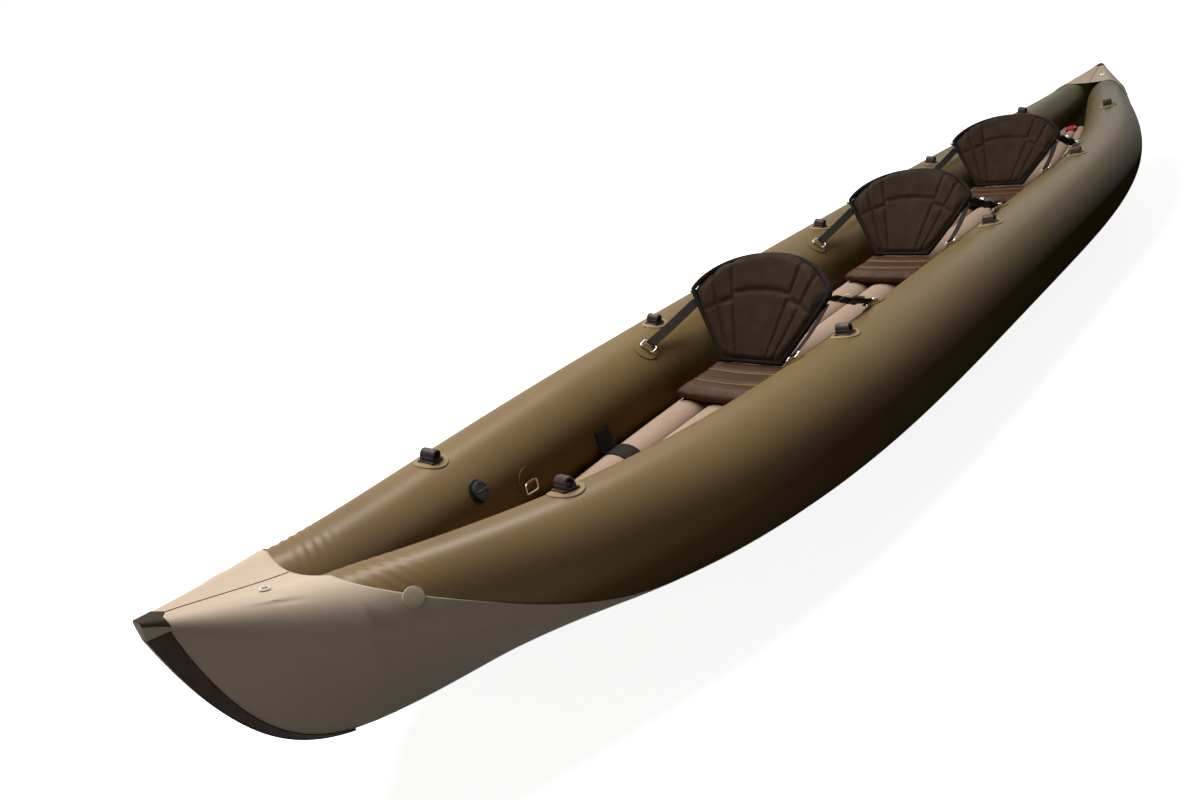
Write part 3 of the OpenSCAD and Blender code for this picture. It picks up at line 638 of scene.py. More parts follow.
def sheet(
    name: str, place: Place, grid: tuple[int, int], size: tuple[float, float], finish: Finish, wall: float
) -> Object:
    """Make a piece of sheet that faces out of the hull, with its thickness inwards.

    Args:
        name: The piece's name.
        place: Gives the point for a share along each direction.
        grid: Faces along each direction.
        size: Real size of the sheet, for its UV map.
        finish: Its finish.
        wall: Its thickness.

    Returns:
        The piece.
    """
    bm = bent_grid(*grid, place, size)
    face_away(bm, hull_middle)
    return thicken(piece(bm, name, finish), wall)


@dataclass(frozen=True)
class HullLines:
    """Lines of the hull in metres, as functions of the distance from amidships."""

    half_length: float = 2.5
    crown_height: float = 0.36
    sheer_rise: float = 0.136
    sheer_power: float = 4.7
    keel_rise_length: float = 0.99
    keel_slope: float = 0.19
    keel_ease: float = 0.3
    stem_bend: float = 0.083
    tube_radius: float = 0.145
    tube_end_radius: float = 0.08
    tube_spacing: float = 0.594
    tube_end_gap: float = 0.01
    tube_end_inset: float = 0.24
    tube_nose: float = 0.06
    taper_power: float = 3.5
    plan_power: float = 4.5
    plan_fullness: float = 1.3
    bottom_half: float = 0.11
    keel_edge_half: float = 0.006
    bottom_narrow_length: float = 1.6
    keel_edge_length: float = 0.55
    tip_depth: float = 0.024
    tip_shoulder: float = 0.005
    tip_inset: float = 0.002
    skin_clearance: float = 0.0009
    skin_thickness: float = 0.002

    @property
    def reach(self) -> float:
        """Distance from amidships to where the tubes meet."""
        return self.half_length - self.tube_end_inset

    @property
    def tube_tip(self) -> float:
        """Distance from amidships to a tube's end."""
        return self.reach + self.tube_nose

    @property
    def skin_outer(self) -> float:
        """Lift of the skin's outer face off a tube."""
        return self.skin_clearance + self.skin_thickness

    @property
    def tube_end_y(self) -> float:
        """Half distance between the tubes' lines where they meet."""
        return self.tube_end_radius + self.tube_end_gap / 2

    def past(self, x: float) -> float:
        """Share of the way from where the tubes meet to the tip."""
        return clamp((abs(x) - self.reach) / self.tube_end_inset)

    def tube_r(self, x: float) -> float:
        """Radius of a tube."""
        past = self.past(x)
        if past > 0:
            return mix(self.tube_end_radius, self.tip_shoulder, past)
        along = abs(x) / self.reach
        return self.tube_radius - (self.tube_radius - self.tube_end_radius) * along**self.taper_power

    def tube_y(self, x: float) -> float:
        """Distance of a tube's line from the middle."""
        past = self.past(x)
        if past > 0:
            return mix(self.tube_end_y, self.keel_edge_half - self.tip_inset, past)
        along = abs(x) / self.reach
        swell = (1 - along**self.plan_power) ** self.plan_fullness
        return mix(self.tube_end_y, self.tube_spacing / 2, swell)

    def crown_z(self, x: float) -> float:
        """Height of a tube's crown."""
        return self.crown_height + self.sheer_rise * (abs(x) / self.half_length) ** self.sheer_power

    def tube_z(self, x: float) -> float:
        """Height of a tube's line."""
        return self.crown_z(x) - self.tube_r(x)

    def keel_z(self, x: float) -> float:
        """Height of the keel."""
        run = abs(x) - (self.half_length - self.keel_rise_length)
        if run <= 0:
            return 0.0
        eased = run * run / (2 * self.keel_ease) if run < self.keel_ease else run - self.keel_ease / 2
        top = self.crown_height + self.sheer_rise + self.skin_outer - self.tip_depth
        stem = top - self.keel_slope * (self.keel_rise_length - self.keel_ease / 2)
        return self.keel_slope * eased + stem * math.exp(-(self.half_length - abs(x)) / self.stem_bend)

    def bottom_y(self, x: float) -> float:
        """Half width of the flat bottom."""
        narrow = abs(x) - self.half_length + self.bottom_narrow_length
        share = narrow / (self.bottom_narrow_length - self.keel_edge_length)
        return mix(self.bottom_half, self.keel_edge_half, ease(share))

    def side_angle(self, x: float, lift: float) -> float:
        """Slope in degrees of the skin from the bottom's edge to the tube."""
        dy = self.tube_y(x) - self.bottom_y(x)
        dz = self.tube_z(x) - self.keel_z(x)
        under = math.asin(min(1.0, (self.tube_r(x) + lift) / math.hypot(dy, dz)))
        return math.degrees(math.atan2(dz, dy) - under)

    def touch_angle(self, x: float, lift: float) -> float:
        """Angle from the crown at which the skin meets the tube."""
        return 180.0 - self.side_angle(x, lift)

    def on_tube(self, x: float, angle: float, lift: float = 0.0, side: Side = Side.STARBOARD) -> Vector:
        """Point on a tube, at an angle from its crown towards the outside."""
        r = self.tube_r(x) + lift
        turn = math.radians(angle)
        y = self.tube_y(x) + r * math.sin(turn)
        return Vector((x, side.value * y, self.tube_z(x) + r * math.cos(turn)))

    def tube_frame(self, x: float, angle: float, side: Side) -> Matrix:
        """Frame on a tube's surface: x along the tube, z outwards."""
        ahead, behind = (self.on_tube(x + step, angle, 0.0, side) for step in (0.001, -0.001))
        along = (ahead - behind).normalized()
        turn = math.radians(angle)
        around = Vector((0.0, side.value * math.cos(turn), -math.sin(turn)))
        out = along.cross(around).normalized() * side.value
        across = out.cross(along)
        matrix = Matrix((along, across, out)).transposed().to_4x4()
        matrix.translation = self.on_tube(x, angle, 0.0, side)
        return matrix


LINES = HullLines()


def hull_middle(point: Vector) -> Vector:
    """Point inside the hull at the same station."""
    return Vector((point.x, 0.0, (LINES.keel_z(point.x) + LINES.crown_z(point.x)) / 2))


def stations(marks: Sequence[tuple[float, float, float]]) -> list[float]:
    """Stations along the hull at given spacings.

    Args:
        marks: Start, stop and spacing of each stretch, in order.

    Returns:
        The stations.
    """
    line = [marks[0][0]]
    for start, stop, spacing in marks:
        count = max(1, round((stop - start) / spacing))
        line += [mix(start, stop, (i + 1) / count) for i in range(count)]
    return line


SEAT_FOLDS = (-0.948, 0.007, 0.962)
FRONT_RING_AHEAD = 0.16


@dataclass
class SideTube:
    """One inflated side tube, with its small pull wrinkles."""

    side: Side
    sides: int = 80
    pull_depth: float = 0.0006
    pull_pitch: float = 0.026
    pull_reach: float = 0.2
    cap_pucker: float = 0.0012
    cap_pucker_x: float = 2.2
    end_start: float = 2.05
    nose_start: float = 2.3
    plain_spacing: float = 0.03
    pull_spacing: float = 0.0045
    end_spacing: float = 0.006
    round_length: float = 0.9

    @property
    def name(self) -> str:
        """Name of the tube's solid."""
        return self.side.name.lower() + "_tube"

    def line(self) -> list[float]:
        """Stations along the tube, closer where it puckers."""
        marks, x = [], -self.end_start
        for fold in SEAT_FOLDS:
            ring = fold - FRONT_RING_AHEAD
            start, stop = ring - self.pull_reach, ring + self.pull_reach
            marks += [(x, start, self.plain_spacing), (start, stop, self.pull_spacing)]
            x = stop
        marks.append((x, self.end_start, self.plain_spacing))
        nose = [LINES.tube_tip * math.sin(math.pi / 2 * k / 24) for k in range(17, 25)]
        end = stations([(self.end_start, self.nose_start, self.end_spacing)])[1:]
        end += [n for n in nose if n > self.nose_start]
        return [-x for x in reversed(end)] + stations(marks) + end

    def pucker(self, x: float, angle: float) -> float:
        """Height of the wrinkles at a point, in metres."""
        height = 0.0
        for fold in SEAT_FOLDS:
            near = x - (fold - FRONT_RING_AHEAD)
            if abs(near) < self.pull_reach:
                window = bump(angle, -62.0, 16.0) * bump(near, -0.03, 0.09)
                wave = math.sin(math.tau * (near / self.pull_pitch + angle / 150))
                height += self.pull_depth * window * wave
        end = bump(abs(x), self.cap_pucker_x, 0.05) * (0.5 + 0.5 * math.cos(math.radians(angle)))
        height += self.cap_pucker * end * math.sin(math.tau * (abs(x) / 0.02 + angle / 40))
        return height

    def place(self, x: float, share: float) -> Vector:
        """Point of the tube at a station and a share of its round."""
        angle = 360.0 * share - 180.0
        nose = math.sqrt(max(0.0, 1 - clamp((abs(x) - LINES.reach) / LINES.tube_nose) ** 2))
        return LINES.on_tube(x, angle, LINES.tube_r(x) * (nose - 1) + self.pucker(x, angle) * nose, self.side)

    def build(self) -> Object:
        """Make the tube."""
        line = self.line()
        last = len(line) - 1
        size = (2 * LINES.tube_tip, self.round_length)
        bm = outwards(bent_grid(last, self.sides, lambda u, v: self.place(line[round(u * last)], v), size))
        return settle(piece(bm, self.name + "_skin", Palette.TUBE), "hull", "tube_fabric", self.name)


@dataclass
class BottomSkin:
    """Fabric slung under the tubes, between the end caps."""

    reach: float = 1.6997
    lap: float = 8.0
    least_lap: float = 0.4
    flat: float = 0.35
    bend: float = 0.85
    grid: tuple[int, int] = (140, 48)

    def place(self, u: float, v: float) -> Vector:
        """Point of the skin's outer face."""
        x = mix(-self.reach, self.reach, u)
        side, share = half(v)
        lift = LINES.skin_outer
        touch = LINES.touch_angle(x, lift)
        low = Vector((x, side.value * LINES.bottom_y(x), LINES.keel_z(x)))
        if share <= self.flat:
            return Vector((x, low.y * share / self.flat, low.z))
        if share <= self.bend:
            up = (share - self.flat) / (self.bend - self.flat)
            return low.lerp(LINES.on_tube(x, touch, lift, side), up)
        lap = self.lap * (1 - (abs(x) / self.reach) ** 4) + self.least_lap
        return LINES.on_tube(x, touch - lap * (share - self.bend) / (1 - self.bend), lift, side)

    def build(self) -> Object:
        """Make the skin."""
        size = (2 * self.reach, 0.9)
        skin = sheet("bottom_skin_sheet", self.place, self.grid, size, Palette.SKIN, LINES.skin_thickness)
        return settle(skin, "hull", "skin_fabric", "bottom_skin")


@dataclass
class EndCap:
    """Skin that closes one end of the hull, with its deck, seams and stem strip."""

    end: End
    deck_length: float = 0.224
    cap_length: float = 0.8
    edge_power: float = 2.5
    grid: tuple[int, int] = (90, 120)
    tip: float = 2.4985
    deck_share: float = 0.14
    arc_share: float = 0.7
    side_share: float = 0.97
    mouth_bow: float = 0.016
    deck_sag: float = 0.009
    cover_x: float = 2.46
    cover_share: float = 0.5
    cover_lift: float = 0.0009
    cover_thickness: float = 0.0007
    seam_half: float = 0.0011
    seam_thickness: float = 0.0006
    folds: tuple[tuple[float, float, float, float, float], ...] = (
        (0.0014, 2.352, 0.02, 0.27, 0.016),
        (-0.0014, 2.336, 0.018, 0.295, 0.016),
        (0.0016, 2.2, 0.05, 0.5, 0.012),
    )
    strip_length: float = 0.235
    strip_top: float = 0.026
    strip_low: float = 0.003
    strip_lift: float = 0.0008
    strip_thickness: float = 0.0015
    strip_edge: float = 0.2

    @property
    def name(self) -> str:
        """Bow or stern, in small letters."""
        return self.end.name.lower()

    def mouth(self, share: float) -> float:
        """Station of the cap's edge at a share of its half round."""
        arc = clamp((share - self.deck_share) / (self.arc_share - self.deck_share))
        crown = min(1.0, share / self.deck_share)
        near = self.deck_length + self.mouth_bow * crown * crown
        return LINES.half_length - mix(near, self.cap_length, arc**self.edge_power)

    def section(self, x: float, share: float, side: Side, lift: float) -> Vector:
        """Point of the cap's section, from the deck's middle to the keel.

        Args:
            x: Station from amidships.
            share: Share of the half round.
            side: Which half.
            lift: Lift off the tube.

        Returns:
            The point, at the stern.
        """
        touch = LINES.touch_angle(x, lift)
        if share <= self.deck_share:
            crown = LINES.on_tube(x, 0.0, lift, side)
            out = share / self.deck_share
            sag = self.deck_sag * (1 - out * out) * ease((self.cover_x - x) / 0.2)
            return Vector((x, crown.y * out, crown.z - sag))
        if share <= self.arc_share:
            round_share = (share - self.deck_share) / (self.arc_share - self.deck_share)
            return LINES.on_tube(x, touch * round_share, lift, side)
        extra = lift - LINES.skin_outer
        low = Vector((x, side.value * (LINES.bottom_y(x) + extra), LINES.keel_z(x) - extra))
        if share <= self.side_share:
            bend = (share - self.arc_share) / (self.side_share - self.arc_share)
            return LINES.on_tube(x, touch, lift, side).lerp(low, bend)
        return Vector((x, low.y * (1 - share) / (1 - self.side_share), low.z))

    def crease(self, point: Vector, share: float) -> Vector:
        """Small folds by the grommet and the corner patch."""
        fold = 0.0
        for depth, x, length, at, width in self.folds:
            fold += depth * bump(point.x, x, length) * bump(share, at, width)
        return point + (point - hull_middle(point)).normalized() * fold

    def to_end(self, point: Vector) -> Vector:
        """Point moved from the stern to this cap's end."""
        return Vector((self.end.value * point.x, point.y, point.z))

    def place(self, u: float, v: float) -> Vector:
        """Point of the cap's outer face."""
        side, share = half(v)
        x = mix(self.mouth(share), self.tip, 1 - (1 - u) ** 1.5)
        return self.to_end(self.crease(self.section(x, share, side, LINES.skin_outer), share))

    def skin(self) -> Object:
        """Make the cap itself."""
        bm = bent_grid(*self.grid, self.place, (0.8, 1.1))
        rim = max(abs(v.co.x) for v in bm.verts) - 1e-5
        tip = [e for e in bm.edges if e.is_boundary and all(abs(v.co.x) > rim for v in e.verts)]
        bmesh.ops.holes_fill(bm, edges=tip, sides=0)
        face_away(bm, hull_middle)
        cap = thicken(piece(bm, self.name + "_cap_skin", Palette.SKIN), LINES.skin_thickness)
        return settle(cap, "hull", "skin_fabric", self.name + "_cap")

    def tip_cover(self) -> Object:
        """Dark cover folded over the tip, down to the stem strip."""

        def place(u: float, v: float) -> Vector:
            """Point of the cover's outer face."""
            side, out = half(v)
            share = out * self.cover_share
            start = self.cover_x + 0.01 * clamp(share / self.deck_share)
            x = mix(start, self.tip, 1 - (1 - u) ** 1.4)
            return self.to_end(self.section(x, share, side, LINES.skin_outer + self.cover_lift))

        name = self.name + "_tip_cover"
        cover = sheet(name, place, (14, 60), (0.05, 0.1), Palette.STRIP, self.cover_thickness)
        return settle(cover, "hull", "strip_rubber")

    def strip(self) -> Object:
        """Dark strip folded over the stem's edge, narrower towards the keel."""
        lift = self.strip_lift + self.strip_thickness

        def place(u: float, v: float) -> Vector:
            """Point of the strip's outer face."""
            along = u**1.6
            x = LINES.half_length - mix(0.0016, self.strip_length, along)
            side, share = half(v)
            keel = LINES.keel_z(x)
            if share < self.strip_edge:
                y = (LINES.bottom_y(x) + lift) * share / self.strip_edge
                return self.to_end(Vector((x, side.value * y, keel - lift)))
            slope = (keel - LINES.keel_z(x - 0.002)) / 0.002
            up = (share - self.strip_edge) / (1 - self.strip_edge)
            leg = mix(self.strip_top, self.strip_low, along**0.7) * up
            back = x - leg * slope / math.hypot(1.0, slope)
            low = LINES.keel_z(back)
            rise = keel + leg / math.hypot(1.0, slope) - low
            angle = math.radians(LINES.side_angle(back, LINES.skin_outer))
            y = LINES.bottom_y(back) + rise / math.tan(angle) + lift * math.sin(angle)
            return self.to_end(Vector((back, side.value * y, low + rise - lift * math.cos(angle))))

        name = self.name + "_stem_strip_tape"
        strip = sheet(name, place, (60, 40), (0.5, 0.07), Palette.STRIP, self.strip_thickness)
        return settle(strip, "hull", "strip_rubber", self.name + "_stem_strip")

    def deck_seam(self) -> Object:
        """Narrow dark seam along the deck's middle."""

        def place(u: float, v: float) -> Vector:
            """Point of the seam's upper face."""
            x = mix(LINES.half_length - self.deck_length + 0.002, self.cover_x + 0.004, u)
            lift = LINES.skin_outer + 0.0004 + 0.0005 * (1 - (2 * v - 1) ** 2)
            point = self.section(x, 0.0, Side.STARBOARD, lift)
            return self.to_end(Vector((x, mix(-self.seam_half, self.seam_half, v), point.z)))

        name = self.name + "_deck_seam"
        seam = sheet(name, place, (40, 6), (0.2, 0.005), Palette.STRIP, self.seam_thickness)
        return settle(seam, "hull", "strip_rubber")

    def build(self) -> None:
        """Make the cap and its trim."""
        self.skin()
        self.tip_cover()
        self.strip()
        self.deck_seam()


@dataclass
class AirFloor:
    """Inflated floor with lengthwise chambers."""

    height: float = 0.217
    chambers: int = 3
    groove: float = 0.026
    clearance: float = 0.003
    reach: float = 2.07
    grid: tuple[int, int] = (240, 132)
    top_share: float = 0.75
    end_round: float = 0.07

    def half_width(self, x: float) -> float:
        """Half width between the tubes."""
        return LINES.tube_y(x) - LINES.tube_r(x) - self.clearance

    def top(self, x: float, share: float) -> float:
        """Height of the chambers at a share of the width."""
        width = self.half_width(x)
        depth = self.groove * min(1.0, width / self.half_width(0.0))
        q = abs(2 * (share * self.chambers % 1) - 1) if 0 < share < 1 else 1.0
        arch = (1 - math.sqrt(1 - 0.96 * q * q)) / 0.8
        outer = 1.0 + 0.5 * max(0.0, abs(2 * share - 1) * 12 - 11)
        return self.height + LINES.keel_z(x) - depth * arch * outer

    def end_share(self, x: float) -> float:
        """Fullness that falls to the floor's rounded ends."""
        into = clamp((abs(x) - self.reach + self.end_round) / self.end_round)
        return math.sqrt(max(0.0, 1 - 0.98 * into * into))

    def place(self, u: float, v: float) -> Vector:
        """Point of the floor's skin: over the chambers, then back underneath."""
        x = self.reach * math.sin(math.pi * (u - 0.5))
        wide = self.half_width(x)
        low_y = min(LINES.bottom_y(x), wide)
        low_z = LINES.keel_z(x) * 1.06 + LINES.skin_thickness + 0.0004
        slope = math.tan(math.radians(LINES.side_angle(x, LINES.skin_clearance) + 1.2))
        edge_z = low_z + (wide - low_y) * slope
        if v <= self.top_share:
            share = v / self.top_share
            y, z = wide * (1 - 2 * share), self.top(x, share)
        else:
            share = (v - self.top_share) / (1 - self.top_share)
            port = [(-wide, self.top(x, 1.0)), (-wide, edge_z), (-low_y, low_z)]
            walls = port + [(low_y, low_z), (wide, edge_z), (wide, self.top(x, 0.0))]
            spot = share * (len(walls) - 1)
            k = min(int(spot), len(walls) - 2)
            y = mix(walls[k][0], walls[k + 1][0], spot - k)
            z = mix(walls[k][1], walls[k + 1][1], spot - k)
        middle = (self.height + low_z + LINES.keel_z(x)) / 2
        full = self.end_share(x)
        return Vector((x, y * (0.35 + 0.65 * full), middle + (z - middle) * full))

    def build(self) -> Object:
        """Make the floor."""
        bm = bent_grid(*self.grid, self.place, (2 * self.reach, 0.9))
        close_ends(bm)
        floor = piece(bm, "floor_mattress_skin", Palette.FLOOR)
        return settle(floor, "hull", "floor_fabric", "floor_mattress")


@dataclass
class RoundPatch:
    """Round patch welded onto a tube."""

    radius: float
    thickness: float = 0.0016
    lift: float = 0.0008
    rings: int = 7
    segments: int = 48

    def mesh(self, x: float, angle: float, side: Side, end: End = End.STERN) -> BMesh:
        """Make the patch, bent over the tube.

        Args:
            x: Station of its centre.
            angle: Its angle from the crown.
            side: The tube it is on.
            end: Whether the station counts towards the bow or the stern.

        Returns:
            The mesh, in place.
        """
        bm = bmesh.new()
        bmesh.ops.create_circle(bm, cap_ends=True, radius=self.radius, segments=self.segments)
        middle = bm.faces[:]
        steps = [0.012] * 2 + [0.04] + [0.12] * (self.rings - 3)
        for step in steps:
            bmesh.ops.inset_region(bm, faces=middle, thickness=self.radius * step, use_boundary=True)
        curve = LINES.tube_r(x) + self.lift
        for vert in bm.verts:
            out = vert.co.length / self.radius
            height = self.thickness * (1 - clamp((out - 0.97) / 0.03) ** 2)
            sink = math.sqrt(curve * curve - vert.co.y * vert.co.y) - curve
            vert.co.z = self.lift + height + sink
        bmesh.ops.solidify(bm, geom=bm.faces, thickness=self.thickness * 0.5)
        return outwards(put(bm, LINES.tube_frame(end.value * x, angle, side)))


@dataclass
class LashingPoints:
    """Moulded loops on round patches along the tube crowns."""

    spots: tuple[float, ...] = (-1.85, -0.972, 0.0, 0.972, 1.85)
    angle: float = -7.0
    patch: RoundPatch = field(default_factory=lambda: RoundPatch(0.035))
    barrel: float = 0.0125
    bore: float = 0.007
    length: float = 0.034
    seat: float = 0.0025

    def loop(self, x: float, side: Side) -> BMesh:
        """Make one loop: a rounded barrel on a moulded foot."""
        wall = (self.barrel - self.bore) / 2
        ring = bmesh.new()
        bmesh.ops.create_circle(ring, radius=1.0, segments=28)
        for vert in ring.verts:
            turn = math.atan2(vert.co.y, vert.co.x)
            radial = math.copysign(abs(math.cos(turn)) ** 0.45, math.cos(turn))
            along = math.copysign(abs(math.sin(turn)) ** 0.3, math.sin(turn))
            vert.co = (self.bore + wall + wall * radial, along * self.length / 2, 0.0)
        spin(ring, (0, 1, 0), 40)
        middle = self.seat + self.barrel - 0.001
        bmesh.ops.translate(ring, vec=(0, 0, middle), verts=ring.verts)
        foot = (0.0065, self.length * 0.96, 0.011)
        feet = [block(foot, (way * 0.0102, 0, self.seat + 0.0052), 0.002) for way in (-1, 1)]
        base = block((0.036, self.length * 1.12, 0.0034), (0, 0, self.seat + 0.0013), 0.0015)
        return put(join("loop", [ring, base, *feet]), LINES.tube_frame(x, self.angle, side))

    def build(self) -> None:
        """Make the patches and the loops."""
        patches = [self.patch.mesh(x, self.angle, side) for x in self.spots for side in Side]
        disc = piece(join("patches", patches), "lashing_patch_discs", Palette.PATCH)
        settle(disc, "hull", "patch_fabric", "lashing_patches")
        for side in Side:
            low = side.name.lower()
            loops = join("loops", [self.loop(x, side) for x in self.spots])
            moulding = piece(loops, low + "_loop_mouldings", Palette.LOOP)
            settle(moulding, "hull", "loop_rubber", low + "_lashing_loops")


@dataclass
class CapPatches:
    """Small round patches on the corners of the caps."""

    x: float = 2.194
    angle: float = 60.0
    patch: RoundPatch = field(default_factory=lambda: RoundPatch(0.017, lift=0.0037))

    def build(self) -> None:
        """Make the four patches."""
        parts = [self.patch.mesh(self.x, self.angle, side, end) for side in Side for end in End]
        discs = piece(join("corners", parts), "cap_corner_discs", Palette.SKIN)
        settle(discs, "hull", "patch_fabric", "cap_patches")


@dataclass
class PaddedForm:
    """A padded piece whose cover is swelled by simulated air."""

    voxel: float = 0.005
    pressure: float = 4.0
    frames: int = 20
    most: float = 0.01

    def swell(self, bm: BMesh, name: str, across: Vector) -> BMesh:
        """Remesh a slab and blow it up.

        Args:
            bm: The slab, which is freed.
            name: Name for the passing object.
            across: Way through the slab, along which its faces move.

        Returns:
            The swelled mesh.
        """
        mesh = bpy.data.meshes.new(name)
        bm.to_mesh(mesh)
        bm.free()
        obj = bpy.data.objects.new(name, mesh)
        bpy.context.scene.collection.objects.link(obj)
        remesh = obj.modifiers.new("remesh", "REMESH")
        remesh.mode = "VOXEL"
        remesh.voxel_size = self.voxel
        still = self.taken(obj)
        obj.modifiers.clear()
        obj.data = still
        before = [v.co.copy() for v in still.vertices]
        moved = still
        cloth = obj.modifiers.new("air", "CLOTH")
        cloth.settings.use_pressure = True
        cloth.settings.uniform_pressure_force = self.pressure
        cloth.settings.effector_weights.gravity = 0.0
        cloth.collision_settings.use_collision = False
        for number in range(1, self.frames + 1):
            bpy.context.scene.frame_set(number)
        moved = self.taken(obj)
        bpy.context.scene.frame_set(1)
        result = bmesh.new()
        result.from_mesh(moved)
        for vert, old in zip(result.verts, before):
            step = (vert.co - old).dot(across)
            vert.co = old + across * max(-self.most, min(self.most, step))
        bpy.data.objects.remove(obj)
        for _ in range(2):
            bmesh.ops.smooth_vert(
                result, verts=result.verts, factor=0.4, use_axis_x=True, use_axis_y=True, use_axis_z=True
            )
        return result

    @staticmethod
    def taken(obj: Object) -> Mesh:
        """Mesh of an object with its modifiers applied."""
        graph = bpy.context.evaluated_depsgraph_get()
        return bpy.data.meshes.new_from_object(obj.evaluated_get(graph))


@dataclass
class SeatCushion:
    """Seat cushion with two curved sewn channels."""

    length: float = 0.205
    width: float = 0.262
    height: float = 0.038
    behind: float = 0.024
    low: float = 0.2174
    form: PaddedForm = field(default_factory=lambda: PaddedForm(most=0.012))
    channels: tuple[float, ...] = (0.36, 0.7)
    channel_width: float = 0.006
    channel_depth: float = 0.006
    piping_half: float = 0.105
    piping_depth: float = 0.004
    piping_radius: float = 0.0016

    def outline(self, u: float, v: float) -> tuple[float, float]:
        """Place on the cushion's outline, with its sides drawn in."""
        across, ahead = 2 * u - 1, 2 * v - 1
        y = across * (self.width / 2 - 0.007 - 0.007 * (1 - ahead * ahead))
        x = mix(self.behind - self.length, self.behind, v) + 0.007 - 0.014 * v
        return x - 0.01 * (1 - across * across) * (1 - v), y

    def slab(self) -> BMesh:
        """Flat starting form at the seat's fold."""

        def place(u: float, v: float) -> Vector:
            """Point of the slab's top."""
            x, y = self.outline(u, v)
            return Vector((x, y, self.low + self.height * 0.68))

        bm = bent_grid(40, 32, place, (self.width, self.length))
        face_away(bm, lambda point: Vector((point.x, point.y, 0.0)))
        bmesh.ops.solidify(bm, geom=bm.faces, thickness=self.height * 0.5)
        outwards(bm)
        return bm

    def channel_x(self, share: float, y: float) -> float:
        """Station of a channel, bowed towards the front."""
        across = 2 * y / self.width
        return mix(self.behind - self.length, self.behind, share) - 0.016 * (1 - across * across)

    def sew(self, bm: BMesh) -> None:
        """Press the channels in and flatten the underside."""
        for vert in bm.verts:
            if vert.co.z > self.low + self.height * 0.6:
                lines = [self.channel_x(share, vert.co.y) for share in self.channels]
                press = max(bump(vert.co.x, line, self.channel_width) for line in lines)
                vert.co.z -= self.channel_depth * press
            vert.co.z = max(vert.co.z, self.low + 0.0003)

    def build(self) -> BMesh:
        """Make the cushion at the seat's fold."""
        bm = self.form.swell(self.slab(), "cushion_form", Vector((0.0, 0.0, 1.0)))
        self.sew(bm)
        return bm

    def piping(self, fold: float) -> list[list[Vector]]:
        """Lines of the cushion's piping along its channels."""
        lines = []
        for share in self.channels:
            ys = [mix(-self.piping_half, self.piping_half, k / 30) for k in range(31)]
            z = self.low + self.height - self.piping_depth
            lines.append([Vector((fold + self.channel_x(share, y), y, z)) for y in ys])
        return lines


